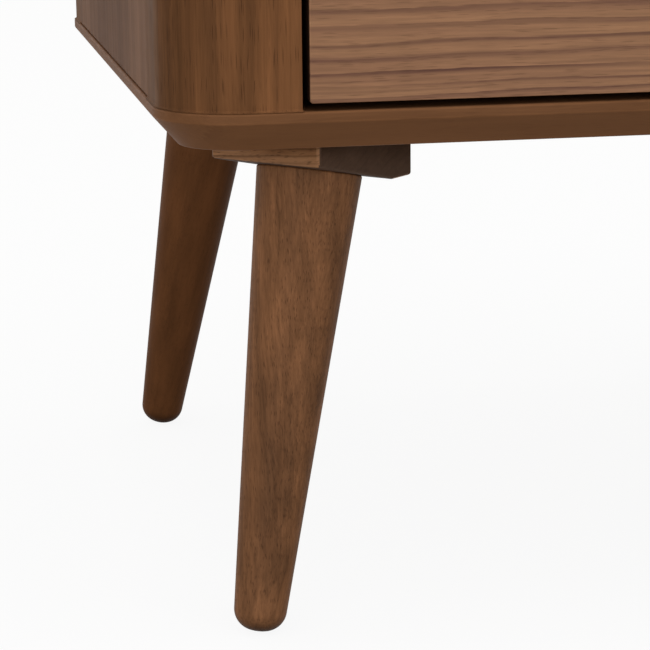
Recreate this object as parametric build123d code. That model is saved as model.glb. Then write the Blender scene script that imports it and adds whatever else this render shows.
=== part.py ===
from build123d import *
import os
from math import cos, radians, sin, sqrt, tan

# A two-drawer nightstand on splayed turned legs, in millimetres. +Z is up and the front faces -Y.
# The case is modelled about its own plan centre, with the floor at Z = 0. At the end everything
# moves back by half of what the knobs stand out, so that the origin is the middle of the footprint.

# ---- Driving dimensions ------------------------------------------------------------------------
WIDTH = 500.0               # plates, left to right
DEPTH = 410.0               # plates, front to back
LEG_ROOM = 200.0            # floor to the underside of the base plate
CASE_HEIGHT = 330.0         # between base plate and top plate

PLATE_THICKNESS = 15.0
PLATE_RIM = 4.0             # upright part of the plate's edge
PLATE_BEVEL = 9.7           # how far the bevel runs in below the rim
PLATE_RADIUS = 32.5         # plan radius of the plate's corners
PLATE_EASE = 0.8            # rounding of the edge beside the case
BEVEL_EASE = 1.2            # rounding of the two edges of the bevel

BODY_INSET = 1.0            # posts and panels stand back from the plate's edge
STILE = 52.5                # plate's side to the edge of the drawer opening
POST_STRIP = 23.0           # flat part of a post beside the side panel
POST_LAP = 13.5             # how far the side panel lies on each post
SIDE_THICKNESS = 16.0
BACK_THICKNESS = 6.0
BACK_LAP = 12.0             # how far the back panel lies on each back post
PANEL_PLAY = 0.2            # between a panel's edge and the end of its rebate or groove

RAIL_THICKNESS = 18.0
RAIL_DEPTH = 50.0
RAIL_GAP = 2.0              # behind the drawer fronts
BATTEN_MARGIN = 7.5         # batten above and below its slide
DOWEL_RADIUS = 4.0
DOWEL_LENGTH = 30.0
DOWEL_IN_PLATE = 10.0
DOWEL_FROM_OPENING = 24.0   # dowel's axis to the edge of the drawer opening
DOWEL_FROM_FACE = 20.0      # dowel's axis to the post's front or back face

REVEAL = 2.8                # gap round each drawer front
FRONT_THICKNESS = 19.0
FRONT_EASE = 0.6
BOX_THICKNESS = 12.0
BOX_RAISE = 14.0            # bottom edge of the box above that of its front
BOX_DROP = 27.0             # top edge of the box below that of its front
BOX_BACK_GAP = 18.0         # behind the box
BOTTOM_THICKNESS = 6.0
GROOVE_RAISE = 10.0         # groove above the bottom edge of the box
GROOVE_DEPTH = 5.0

SLIDE_SPACE = 12.5          # whole thickness of a slide, from batten to box
SLIDE_HEIGHT = 45.0
SLIDE_SHEET = 1.2
SLIDE_PLAY = 0.35           # between flanges that run inside each other
SLIDE_SETBACK = 2.0         # slide's front end behind the drawer front
SLIDE_TAIL = 13.0           # slide's back end to the back of the box
CASE_MEMBER_DEPTH = 9.5     # each member's flanges, measured over its web
MIDDLE_MEMBER_DEPTH = 6.0
MIDDLE_MEMBER_STANDOFF = 4.0    # middle member's web from the batten
BOX_MEMBER_DEPTH = 6.5
SLIDE_SCREW_END = 58.0      # screw to the end of the slide

KNOB_RADIUS = 14.0
KNOB_LENGTH = 24.0
KNOB_FOOT_RADIUS = 8.0
KNOB_FOOT_HEIGHT = 2.5
KNOB_NECK_RADIUS = 5.8
KNOB_FLARE = 5.0            # along the knob, from the end of its neck to its full radius
KNOB_RIM = 6.5              # length of the full radius
KNOB_CROWN = 2.0            # rise of the knob's face
KNOB_EASE = 2.4             # rounding of the head's two edges

SPLAY = 12.4                # degrees between a leg and the vertical, along the corner's diagonal
FOOT_INSET = 38.0           # leg's axis at the floor, from both sides of the plate
LEG_TOP_RADIUS = 21.3
LEG_FOOT_RADIUS = 10.2      # of the taper carried down to the floor
FOOT_ROUND = 8.8            # rounding of the foot
FOOT_FLAT = 0.3             # sanded off the rounded foot, so that it stands flat

BLOCK_MARGIN = 4.7          # block wider than the leg's top, on each side across the diagonal
BLOCK_NOSE = 9.4            # outer end of the block beyond the leg's top
BLOCK_HEEL = 0.7            # end of the slope beyond the leg's top
BLOCK_LEVEL = 13.5          # level part behind the slope
BLOCK_END = 10.7            # thickness at the outer end
BLOCK_EASE = 1.4
BLOCK_SCREW_END = 12.0      # screw to the nearer end of the block
BLOCK_SCREW_SPREAD = 14.0   # screw to the block's middle line

BOLT_RADIUS = 4.0
BOLT_IN_LEG = 40.0
BOLT_IN_INSERT = 12.0
INSERT_RADIUS = 6.0
INSERT_LENGTH = 13.0

BACK_SCREWS = 4             # along each back post
BACK_SCREW_END = 25.0       # outermost of them to the plate
FRONT_SCREW_INSET = 43.0    # from the inside of the box
FRONT_SCREW_LOW = 35.0      # above the bottom edge of the box
FRONT_SCREW_HIGH = 25.0     # below the top edge of the box
WOOD_SCREW = (2.0, 4.0, 2.4)    # shank radius, head radius and head height
SMALL_SCREW = (1.7, 3.2, 1.9)
SCREW_IN_BLOCK = 10.0       # how far each screw goes into the last piece it holds
SCREW_IN_FRONT = 12.0
SCREW_IN_KNOB = 12.0
SCREW_IN_POST = 12.0
SCREW_IN_BATTEN = 15.0
SCREW_IN_SIDE = 9.0

FIT = 0.1                   # round a shank, dowel, bolt or insert in its hole
HOLE_SPARE = 1.0            # how much deeper a hole is than what it holds

# ---- Derived places ----------------------------------------------------------------------------
PLATE_TOP = LEG_ROOM + PLATE_THICKNESS
CASE_TOP = PLATE_TOP + CASE_HEIGHT
BODY_X = WIDTH / 2 - BODY_INSET
BODY_Y = DEPTH / 2 - BODY_INSET
BODY_RADIUS = PLATE_RADIUS - BODY_INSET
OPENING_X = WIDTH / 2 - STILE
PANEL_Y = BODY_Y - BODY_RADIUS - POST_STRIP
POST_DEPTH = BODY_Y - PANEL_Y + POST_LAP
FRONT_HEIGHT = (CASE_HEIGHT - 3 * REVEAL) / 2
BOX_X = OPENING_X - SLIDE_SPACE
BOX_Y = -BODY_Y + FRONT_THICKNESS
BOX_DEPTH = BODY_Y - BACK_THICKNESS - BOX_BACK_GAP - BOX_Y
BOX_HEIGHT = FRONT_HEIGHT - BOX_RAISE - BOX_DROP
SLIDE_Y = BOX_Y + SLIDE_SETBACK
SLIDE_LENGTH = BOX_DEPTH - SLIDE_SETBACK - SLIDE_TAIL
DRAWERS = {"lower": PLATE_TOP + REVEAL, "upper": PLATE_TOP + 2 * REVEAL + FRONT_HEIGHT}
SIDES = {"left": -1, "right": 1}
ENDS = {"front": -1, "back": 1}
QUARTERS = [(side, end) for side in SIDES.values() for end in ENDS.values()]
SHIFT_Y = (KNOB_LENGTH - BODY_INSET) / 2

SPLAY_ANGLE = radians(SPLAY)
LEG_BACKSET = BLOCK_NOSE + LEG_TOP_RADIUS
BLOCK_SLOPE = LEG_BACKSET + LEG_TOP_RADIUS + BLOCK_HEEL
BLOCK_LENGTH = BLOCK_SLOPE + BLOCK_LEVEL
BLOCK_WIDTH = 2 * (LEG_TOP_RADIUS + BLOCK_MARGIN)
SEAT_Z = LEG_ROOM - BLOCK_END - LEG_BACKSET * tan(SPLAY_ANGLE)
LEG_LENGTH = SEAT_Z / cos(SPLAY_ANGLE)
BLOCK_INSET = FOOT_INSET + (LEG_LENGTH * sin(SPLAY_ANGLE) - LEG_BACKSET) / sqrt(2)


# ---- Helpers -----------------------------------------------------------------------------------
def slab(x, y, z):
    """A rectangular board between the pairs x, y and z."""
    size = (x[1] - x[0], y[1] - y[0], z[1] - z[0])
    centre = ((x[0] + x[1]) / 2, (y[0] + y[1]) / 2, (z[0] + z[1]) / 2)
    return Pos(*centre) * Box(*size)


def turned(*points):
    """A solid turned about Z from a closed outline of (radius, height) points."""
    return revolve(make_face(Plane.XZ * Polyline(*points, close=True)), Axis.Z)


def pin(radius, length):
    """A round pin from Z = 0 downwards."""
    return Pos(0, 0, -length / 2) * Cylinder(radius, length)


def at(shape, origin, outward):
    """A shape that points down -Z, set on a face at origin, whose outward direction is given."""
    return Plane(origin=origin, z_dir=outward).location * shape


def to_quarter(shape, side, end=1):
    """A shape made for the right back quarter, turned over into the quarter that is wanted."""
    if side < 0:
        shape = mirror(shape, about=Plane.YZ)
    if end < 0:
        shape = mirror(shape, about=Plane.XZ)
    return shape


def in_all_quarters(shapes):
    """Every shape of the right back quarter, in all four quarters."""
    return [to_quarter(shape, side, end) for side, end in QUARTERS for shape in shapes]


def on_both_sides(shapes):
    """Every shape of the right side, on both sides."""
    return [to_quarter(shape, side) for side in SIDES.values() for shape in shapes]


def cut_all(shape, cutters):
    """The shape with every cutter taken out of it."""
    for cutter in cutters:
        shape = shape - cutter
    return shape


class Screw:
    """A plain-shanked screw that points down -Z, and the hole that it sits in."""

    def __init__(self, size, length, sunk=True):
        self.radius, self.head_radius, self.head_height = size
        self.length = length
        self.sunk = sunk

    def solid(self):
        """A sunk head is flush with Z = 0, and any other head lies on it."""
        r, tip, head, rise = self.radius, -self.length, self.head_radius, self.head_height
        if self.sunk:
            return turned((0, 0), (head, 0), (r, -rise), (r, tip), (0, tip))
        return turned((0, rise), (head, rise), (head, 0), (r, 0), (r, tip), (0, tip))

    def hole(self):
        """Wider than the shank by FIT, with a countersink for a sunk head."""
        hole = Pos(0, 0, HOLE_SPARE) * pin(self.radius + FIT, self.length + 2 * HOLE_SPARE)
        if self.sunk:
            wide, narrow = self.head_radius + FIT, self.radius + FIT
            hole = hole + turned((0, HOLE_SPARE), (wide, HOLE_SPARE), (wide, 0),
                                 (narrow, -self.head_height), (0, -self.head_height))
        return hole


PLATE_SCREW = Screw(WOOD_SCREW, PLATE_THICKNESS + SCREW_IN_BLOCK)
FRONT_SCREW = Screw(WOOD_SCREW, BOX_THICKNESS + SCREW_IN_FRONT)
KNOB_SCREW = Screw(WOOD_SCREW, BOX_THICKNESS + FRONT_THICKNESS + SCREW_IN_KNOB)
BACK_SCREW = Screw(SMALL_SCREW, BACK_THICKNESS + SCREW_IN_POST)
BATTEN_SCREW = Screw(SMALL_SCREW, SLIDE_SHEET + SCREW_IN_BATTEN, sunk=False)
BOX_SCREW = Screw(SMALL_SCREW, SLIDE_SHEET + SCREW_IN_SIDE, sunk=False)


# ---- Where the fixings go ------------------------------------------------------------------------
def dowels(grow=0.0, spare=0.0):
    """Both dowels of the right back post, or with grow and spare the holes for them."""
    x, y = OPENING_X + DOWEL_FROM_OPENING, BODY_Y - DOWEL_FROM_FACE
    peg = pin(DOWEL_RADIUS + grow, DOWEL_LENGTH + 2 * spare)
    lower = at(peg, (x, y, PLATE_TOP - DOWEL_IN_PLATE - spare), (0, 0, -1))
    upper = at(peg, (x, y, CASE_TOP + DOWEL_IN_PLATE + spare), (0, 0, 1))
    return [lower, upper]


def block_plane():
    """X runs inwards along the diagonal from the block's outer end, Z up from the plate's underside."""
    corner = (WIDTH / 2 - BLOCK_INSET, DEPTH / 2 - BLOCK_INSET, LEG_ROOM)
    return Plane(origin=corner, x_dir=(-1, -1, 0), z_dir=(0, 0, 1))


def leg_plane():
    """Z runs up the leg's axis, from the point where that axis meets the floor."""
    lean = sin(SPLAY_ANGLE) / sqrt(2)
    foot = (WIDTH / 2 - FOOT_INSET, DEPTH / 2 - FOOT_INSET, 0)
    return Plane(origin=foot, x_dir=(1, -1, 0), z_dir=(-lean, -lean, cos(SPLAY_ANGLE)))


def seat_plane():
    """The leg's plane moved up to the block's slope, where the leg's top face lies."""
    return leg_plane().offset(LEG_LENGTH)


def plate_screws(shape):
    """The shape at each screw through the base plate into the right back block."""
    plane = block_plane()
    spots = [plane.from_local_coords((along, across, PLATE_THICKNESS))
             for along in (BLOCK_SCREW_END, BLOCK_LENGTH - BLOCK_SCREW_END)
             for across in (-BLOCK_SCREW_SPREAD, BLOCK_SCREW_SPREAD)]
    return [at(shape, spot, (0, 0, 1)) for spot in spots]


def back_screws(shape):
    """The shape at each screw through the back panel into the right back post."""
    step = (CASE_HEIGHT - 2 * BACK_SCREW_END) / (BACK_SCREWS - 1)
    heights = [PLATE_TOP + BACK_SCREW_END + step * count for count in range(BACK_SCREWS)]
    return [at(shape, (OPENING_X + BACK_LAP / 2, BODY_Y, height), (0, 1, 0)) for height in heights]


def slide_screw_depths():
    """Front and back screw of each slide member."""
    return [SLIDE_Y + SLIDE_SCREW_END, SLIDE_Y + SLIDE_LENGTH - SLIDE_SCREW_END]


def batten_screws(shape, height):
    """The shape at each screw of the right-hand case member, with the head on its web."""
    return [at(shape, (OPENING_X - SLIDE_SHEET, depth, height), (-1, 0, 0)) for depth in slide_screw_depths()]


def box_screws(shape, height):
    """The shape at each screw of the right-hand box member, with the head on its web."""
    return [at(shape, (BOX_X + SLIDE_SHEET, depth, height), (1, 0, 0)) for depth in slide_screw_depths()]


def front_screws(shape, base):
    """The shape at each screw from the inner front into the drawer front."""
    low = base + BOX_RAISE
    spread = BOX_X - BOX_THICKNESS - FRONT_SCREW_INSET
    return [at(shape, (side * spread, BOX_Y + BOX_THICKNESS, low + height), (0, 1, 0))
            for side in SIDES.values() for height in (FRONT_SCREW_LOW, BOX_HEIGHT - FRONT_SCREW_HIGH)]


def knob_screw(shape, base):
    """The shape at the knob's screw, in the middle of the drawer front."""
    return at(shape, (0, BOX_Y + BOX_THICKNESS, base + FRONT_HEIGHT / 2), (0, 1, 0))


def slide_height(base):
    """Middle of the slide beside a drawer whose front starts at the height base."""
    return base + BOX_RAISE + BOX_HEIGHT / 2


# ---- Case ----------------------------------------------------------------------------------------
def level_edges(shape):
    """The shape's level edges in groups from the lowest to the highest."""
    return shape.edges().filter_by(lambda edge: edge.bounding_box().size.Z < 0.001).group_by(Axis.Z)


def plate():
    """Base plate without holes: an upright rim at the top and a bevel that runs in below it."""
    bevel_top = LEG_ROOM + PLATE_THICKNESS - PLATE_RIM
    low = RectangleRounded(WIDTH - 2 * PLATE_BEVEL, DEPTH - 2 * PLATE_BEVEL, PLATE_RADIUS - PLATE_BEVEL)
    full = RectangleRounded(WIDTH, DEPTH, PLATE_RADIUS)
    board = loft([Pos(0, 0, LEG_ROOM) * low, Pos(0, 0, bevel_top) * full], ruled=True)
    board = board + Pos(0, 0, bevel_top) * extrude(full, PLATE_RIM)
    board = fillet(level_edges(board)[0] + level_edges(board)[1], BEVEL_EASE)
    return fillet(level_edges(board)[-1], PLATE_EASE)


def plates():
    """The base plate and the top plate, which is the same board turned over."""
    board = plate()
    upper = mirror(board, about=Plane.XY.offset(PLATE_TOP - PLATE_THICKNESS / 2))
    upper = Pos(0, 0, CASE_TOP - LEG_ROOM) * upper
    holes = in_all_quarters(dowels(FIT, HOLE_SPARE))
    screws = in_all_quarters(plate_screws(PLATE_SCREW.hole()))
    return {"base_plate": cut_all(board, holes + screws), "top_plate": cut_all(upper, holes)}


def corner_post(end):
    """Post of the right back quarter: rounded corner, rebates for the side panel and the back panel."""
    height = (PLATE_TOP, CASE_TOP)
    post = slab((OPENING_X, BODY_X), (BODY_Y - POST_DEPTH, BODY_Y), height)
    outer = post.edges().filter_by(Axis.Z).sort_by(lambda edge: edge.center().X + edge.center().Y)[-1]
    post = fillet(outer, BODY_RADIUS)
    cutters = dowels(FIT, HOLE_SPARE)
    cutters.append(slab((BODY_X - SIDE_THICKNESS, BODY_X), (PANEL_Y - POST_LAP, PANEL_Y), height))
    if end == "back":
        cutters.append(slab((OPENING_X, OPENING_X + BACK_LAP), (BODY_Y - BACK_THICKNESS, BODY_Y), height))
        cutters += back_screws(BACK_SCREW.hole())
    return cut_all(post, cutters)


def side_panel():
    """Right-hand panel, from rebate to rebate of its two posts."""
    return slab((BODY_X - SIDE_THICKNESS, BODY_X), (-PANEL_Y, PANEL_Y), (PLATE_TOP, CASE_TOP))


def back_panel():
    """Panel in the rebates of the back posts, flush with them."""
    reach = OPENING_X + BACK_LAP - PANEL_PLAY
    board = slab((-reach, reach), (BODY_Y - BACK_THICKNESS, BODY_Y), (PLATE_TOP, CASE_TOP))
    return cut_all(board, on_both_sides(back_screws(BACK_SCREW.hole())))


def mid_rail():
    """Rail between the front posts, behind the gap between the two drawer fronts."""
    centre = PLATE_TOP + CASE_HEIGHT / 2
    start = BOX_Y + RAIL_GAP
    return slab((-OPENING_X, OPENING_X), (start, start + RAIL_DEPTH),
                (centre - RAIL_THICKNESS / 2, centre + RAIL_THICKNESS / 2))


def slide_batten(height):
    """Right-hand batten that brings a slide out to the edge of the opening."""
    rise = SLIDE_HEIGHT / 2 + BATTEN_MARGIN
    reach = BODY_Y - POST_DEPTH
    batten = slab((OPENING_X, BODY_X - SIDE_THICKNESS), (-reach, reach),
                  (height - rise, height + rise))
    return cut_all(batten, batten_screws(BATTEN_SCREW.hole(), height))


def case():
    """The case's nodes, without slides and legs."""
    made = plates()
    for side, turn in SIDES.items():
        made[f"{side}_side_panel"] = to_quarter(side_panel(), turn)
        for end, way in ENDS.items():
            made[f"{end}_{side}_post"] = to_quarter(corner_post(end), turn, way)
        for level, base in DRAWERS.items():
            made[f"{level}_{side}_batten"] = to_quarter(slide_batten(slide_height(base)), turn)
    made["back_panel"] = back_panel()
    made["mid_rail"] = mid_rail()
    made["post_dowels"] = in_all_quarters(dowels())
    made["back_panel_screws"] = on_both_sides(back_screws(BACK_SCREW.solid()))
    return made


# ---- Legs ----------------------------------------------------------------------------------------
def leg_bolt(grow=0.0, spare=0.0):
    """Hanger bolt about the seat plane's Z, or with grow and spare the hole for it in the leg."""
    return Pos(0, 0, BOLT_IN_INSERT) * pin(BOLT_RADIUS + grow, BOLT_IN_INSERT + BOLT_IN_LEG + spare)


def leg_insert(grow=0.0, spare=0.0):
    """Threaded insert above the seat plane, without its bore, or the hole for it in the block."""
    length = INSERT_LENGTH + spare
    return Pos(0, 0, length) * pin(INSERT_RADIUS + grow, length)


def leg_block():
    """Wedge under the plate: cut to the leg's splay from its outer end, then level, with eased corners."""
    deep = BLOCK_END + BLOCK_SLOPE * tan(SPLAY_ANGLE)
    outline = Polyline((0, 0), (BLOCK_LENGTH, 0), (BLOCK_LENGTH, -deep), (BLOCK_SLOPE, -deep),
                       (0, -BLOCK_END), close=True)
    wedge = extrude(make_face(Plane.XZ * outline), BLOCK_WIDTH / 2, both=True)
    bare = wedge.edges().filter_by(lambda edge: edge.center().Z < -FIT)
    ridge = bare.filter_by(Axis.Y).sort_by(lambda edge: abs(edge.center().X - BLOCK_SLOPE))[0]
    block = block_plane().location * fillet([edge for edge in bare if edge != ridge], BLOCK_EASE)
    insert = seat_plane().location * leg_insert(FIT, HOLE_SPARE)
    return cut_all(block, [insert] + plate_screws(PLATE_SCREW.hole()))


def leg():
    """Turned taper with a rounded foot, square to its own axis at the top."""
    slope = (LEG_TOP_RADIUS - LEG_FOOT_RADIUS) / LEG_LENGTH
    side = sqrt(1 + slope * slope)
    flat = LEG_FOOT_RADIUS - FOOT_ROUND * (side - slope)
    end = (FOOT_ROUND * (1 - cos(SPLAY_ANGLE)) + flat * sin(SPLAY_ANGLE) - FOOT_FLAT) / cos(SPLAY_ANGLE)
    taper = turned((0, end), (LEG_FOOT_RADIUS + slope * end, end), (LEG_TOP_RADIUS, LEG_LENGTH),
                   (0, LEG_LENGTH))
    foot_edge = taper.edges().filter_by(GeomType.CIRCLE).sort_by(Axis.Z)[0]
    turned_leg = leg_plane().location * fillet(foot_edge, FOOT_ROUND)
    floor = Pos(0, 0, -DEPTH / 2) * Box(2 * WIDTH, 2 * DEPTH, DEPTH)
    return turned_leg - seat_plane().location * leg_bolt(FIT, HOLE_SPARE) - floor


def legs():
    """Legs and blocks in their four corners, and what holds them."""
    made = {}
    bolt = seat_plane().location * leg_bolt()
    bore = Pos(0, 0, INSERT_LENGTH) * pin(BOLT_RADIUS + FIT, INSERT_LENGTH)
    insert = seat_plane().location * (leg_insert() - bore)
    for side, turn in SIDES.items():
        for end, way in ENDS.items():
            made[f"{end}_{side}_leg"] = to_quarter(leg(), turn, way)
            made[f"{end}_{side}_leg_block"] = to_quarter(leg_block(), turn, way)
    made["leg_bolts"] = in_all_quarters([bolt])
    made["leg_inserts"] = in_all_quarters([insert])
    made["leg_block_screws"] = in_all_quarters(plate_screws(PLATE_SCREW.solid()))
    return made


# ---- Slides --------------------------------------------------------------------------------------
def channel(web, rims, half_height, height):
    """A sheet channel from x = web to x = rims, open at the rims."""
    reach = (SLIDE_Y, SLIDE_Y + SLIDE_LENGTH)
    way = 1 if rims > web else -1
    low, high = height - half_height, height + half_height
    hollow = slab(sorted((web + way * SLIDE_SHEET, rims)), reach, (low + SLIDE_SHEET, high - SLIDE_SHEET))
    return slab(sorted((web, rims)), reach, (low, high)) - hollow


def slide_members(height):
    """Right-hand slide: three channels, each with its flanges inside those of the one before."""
    half = SLIDE_HEIGHT / 2
    step = SLIDE_SHEET + SLIDE_PLAY
    middle_web = OPENING_X - MIDDLE_MEMBER_STANDOFF
    case_member = channel(OPENING_X, OPENING_X - CASE_MEMBER_DEPTH, half, height)
    middle = channel(middle_web, middle_web - MIDDLE_MEMBER_DEPTH, half - step, height)
    box_member = channel(BOX_X, BOX_X + BOX_MEMBER_DEPTH, half - 2 * step, height)
    return {"case": cut_all(case_member, batten_screws(BATTEN_SCREW.hole(), height)), "middle": middle,
            "box": cut_all(box_member, box_screws(BOX_SCREW.hole(), height))}


def slides():
    """Both slides of both drawers, and the screws that hold their members."""
    made = {}
    in_battens = []
    for level, base in DRAWERS.items():
        height = slide_height(base)
        for side, turn in SIDES.items():
            for member, shape in slide_members(height).items():
                made[f"{level}_{side}_slide_{member}_member"] = to_quarter(shape, turn)
        in_battens += on_both_sides(batten_screws(BATTEN_SCREW.solid(), height))
        made[f"{level}_box_member_screws"] = on_both_sides(box_screws(BOX_SCREW.solid(), height))
    made["case_member_screws"] = in_battens
    return made


# ---- Drawers -------------------------------------------------------------------------------------
def knob():
    """Turned knob on Z = 0: a low foot, a waisted neck and a head with a crowned face."""
    brow, half = KNOB_LENGTH - KNOB_CROWN, KNOB_RADIUS / 2
    shoulder = (KNOB_RADIUS, brow - KNOB_RIM)
    foot, throat = (KNOB_FOOT_RADIUS, KNOB_FOOT_HEIGHT), (KNOB_FOOT_RADIUS, shoulder[1] - KNOB_FLARE)
    face = (KNOB_RADIUS ** 2 + KNOB_CROWN ** 2) / (2 * KNOB_CROWN)
    crown = (half, KNOB_LENGTH - face + sqrt(face ** 2 - half ** 2))
    outline = [Line((0, 0), (KNOB_FOOT_RADIUS, 0)), Line((KNOB_FOOT_RADIUS, 0), foot),
               ThreePointArc(foot, (KNOB_NECK_RADIUS, (foot[1] + throat[1]) / 2), throat),
               Line(throat, shoulder), Line(shoulder, (KNOB_RADIUS, brow)),
               ThreePointArc((KNOB_RADIUS, brow), crown, (0, KNOB_LENGTH)), Line((0, KNOB_LENGTH), (0, 0))]
    blank = revolve(make_face([Plane.XZ * line for line in outline]), Axis.Z)
    rims = blank.edges().filter_by(GeomType.CIRCLE).filter_by(lambda edge: edge.radius > KNOB_RADIUS - FIT)
    return fillet(rims, min(KNOB_EASE, KNOB_RIM * 0.45))


def drawer_front(base):
    """Front with eased edges, and the hole of the knob's screw."""
    reach = OPENING_X - REVEAL
    board = slab((-reach, reach), (-BODY_Y, BOX_Y), (base, base + FRONT_HEIGHT))
    board = fillet(board.edges(), FRONT_EASE)
    return cut_all(board, front_screws(FRONT_SCREW.hole(), base) + [knob_screw(KNOB_SCREW.hole(), base)])


def drawer_bottom(base, grow):
    """Bottom panel of the box, or with grow the grooves that it lies in."""
    low = base + BOX_RAISE + GROOVE_RAISE
    lap = GROOVE_DEPTH - PANEL_PLAY + grow
    x = BOX_X - BOX_THICKNESS + lap
    front, back = BOX_Y + BOX_THICKNESS - lap, BOX_Y + BOX_DEPTH - BOX_THICKNESS + lap
    return slab((-x, x), (front, back), (low, low + BOTTOM_THICKNESS))


def drawer(base):
    """One drawer's nodes, for a front that starts at the height base."""
    z = (base + BOX_RAISE, base + BOX_RAISE + BOX_HEIGHT)
    inside = BOX_X - BOX_THICKNESS
    depth = (BOX_Y, BOX_Y + BOX_DEPTH)
    groove = drawer_bottom(base, PANEL_PLAY)
    inner_front = slab((-inside, inside), (depth[0], depth[0] + BOX_THICKNESS), z) - groove
    front_holes = front_screws(FRONT_SCREW.hole(), base) + [knob_screw(KNOB_SCREW.hole(), base)]
    side = slab((inside, BOX_X), depth, z) - groove
    side = cut_all(side, box_screws(BOX_SCREW.hole(), slide_height(base)))
    turned_knob = at(mirror(knob(), about=Plane.XY), (0, -BODY_Y, base + FRONT_HEIGHT / 2), (0, 1, 0))
    return {
        "drawer_front": drawer_front(base),
        "inner_front": cut_all(inner_front, front_holes),
        "box_left_side": to_quarter(side, SIDES["left"]),
        "box_right_side": side,
        "box_back": slab((-inside, inside), (depth[1] - BOX_THICKNESS, depth[1]), z) - groove,
        "box_bottom": drawer_bottom(base, 0.0),
        "knob": turned_knob - knob_screw(KNOB_SCREW.hole(), base),
        "knob_screw": knob_screw(KNOB_SCREW.solid(), base),
        "front_screws": front_screws(FRONT_SCREW.solid(), base),
    }


# ---- All nodes -----------------------------------------------------------------------------------
def placed(shape):
    """A shape, or the separate solids of a shared node, in the frame that the part is handed over in."""
    if isinstance(shape, list):
        return Compound(children=[placed(piece) for piece in shape])
    return Pos(0, SHIFT_Y, 0) * shape


def nightstand():
    """Every node by name."""
    made = {**case(), **legs(), **slides()}
    for level, base in DRAWERS.items():
        for name, shape in drawer(base).items():
            made[f"{level}_{name}"] = shape
    return {name: placed(shape) for name, shape in made.items()}


os.makedirs("parts", exist_ok=True)
for node_name, node_shape in nightstand().items():
    export_step(node_shape, f"parts/{node_name}.step")
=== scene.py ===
"""Looks of a two-drawer walnut nightstand on splayed turned legs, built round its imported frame.

Every length is in metres. The frame gives each piece its place: +Z is up and the front faces -Y.
"""

import logging
import math
from dataclasses import dataclass, field, replace
from enum import Enum
from functools import cache, reduce

import bpy
import numpy as np
from mathutils import Matrix, Vector


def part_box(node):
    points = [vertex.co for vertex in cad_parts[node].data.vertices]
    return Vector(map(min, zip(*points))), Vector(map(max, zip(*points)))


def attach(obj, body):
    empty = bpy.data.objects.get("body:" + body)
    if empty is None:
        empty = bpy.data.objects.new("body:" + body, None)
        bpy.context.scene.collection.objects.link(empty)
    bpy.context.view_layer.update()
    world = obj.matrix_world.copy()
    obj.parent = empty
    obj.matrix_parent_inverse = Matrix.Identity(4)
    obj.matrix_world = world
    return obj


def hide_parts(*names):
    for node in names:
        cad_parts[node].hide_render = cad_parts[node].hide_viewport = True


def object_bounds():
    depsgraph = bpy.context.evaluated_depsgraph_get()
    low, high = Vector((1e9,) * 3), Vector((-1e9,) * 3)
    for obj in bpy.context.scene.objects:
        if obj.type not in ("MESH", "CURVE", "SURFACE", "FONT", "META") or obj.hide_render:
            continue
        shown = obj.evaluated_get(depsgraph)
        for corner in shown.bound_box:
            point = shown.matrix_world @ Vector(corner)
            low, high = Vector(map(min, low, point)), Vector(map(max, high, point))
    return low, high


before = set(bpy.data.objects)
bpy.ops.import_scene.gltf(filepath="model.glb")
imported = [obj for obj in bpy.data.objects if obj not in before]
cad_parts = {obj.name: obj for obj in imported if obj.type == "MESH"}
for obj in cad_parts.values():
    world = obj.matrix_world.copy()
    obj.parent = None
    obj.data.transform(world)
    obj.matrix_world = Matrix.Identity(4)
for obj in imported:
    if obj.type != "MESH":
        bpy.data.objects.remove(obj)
CAD_BOX = [list(corner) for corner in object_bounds()]

LOG = logging.getLogger("nightstand")
GUARD = 0.0001              # flat strip kept beside every rounding, so that broad faces shade flat
ARRIS_RISE = np.array((0.0, 0.5, 1.0, 1.2))     # rings of an eased end, up from it in eases
ARRIS_INSET = np.array((1.0, 0.17, 0.0, 0.0))   # and how far each of them stands in
EDGE = "edge"               # name of the mask that is 1 on rounded edges
FOOT_DARK = "end"                 # name of the mask that darkens a leg's foot towards the floor
COLOURS = ("light", "dark", "streak", "pore")
AMOUNTS = ("layer", "layers", "sway", "uneven", "shorten", "cloud", "mottle", "bands", "fibres", "pores",
           "gloss")
PATTERN_SEED = 11           # where the figure of each board starts
PATTERN_REACH = 3.0         # how far apart those places may lie along the grain
WHITE = (1.0, 1.0, 1.0, 1.0)
FORWARDS = Matrix(((1, 0, 0), (0, 0, -1), (0, 1, 0))).to_4x4()      # turns +Z to -Y

Array = np.ndarray
Socket = bpy.types.NodeSocket
Colour = tuple[float, float, float, float]
Pair = tuple[float, float]
Triple = tuple[float, float, float]


class Word(Enum):
    """A choice whose name is a word in the frame's node names."""

    @property
    def word(self) -> str:
        """The name as the frame's nodes write it."""
        return self.name.lower()


class Side(Word):
    """Left or right of the case, with the sign of its X."""

    LEFT = -1
    RIGHT = 1


class End(Word):
    """Front or back of the case, with the sign of its Y."""

    FRONT = -1
    BACK = 1


class Level(Word):
    """The two drawers, from below."""

    LOWER = 0
    UPPER = 1


class Grain(Enum):
    """How a board lies: along its fibres first, then across them on its broad face."""

    FRONT_LEVEL = ((1, 0, 0), (0, 0, 1))
    FRONT_UPRIGHT = ((0, 0, 1), (1, 0, 0))
    SIDE_UPRIGHT = ((0, 0, 1), (0, 1, 0))
    SIDE_LEVEL = ((0, 1, 0), (0, 0, 1))
    FLAT_LEVEL = ((1, 0, 0), (0, 1, 0))

    def axes(self) -> Matrix:
        """Rows that turn the object's axes into the wood's own: along, across and out of the face."""
        along, across = (Vector(axis) for axis in self.value)
        return Matrix((along, across, along.cross(across)))


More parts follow.
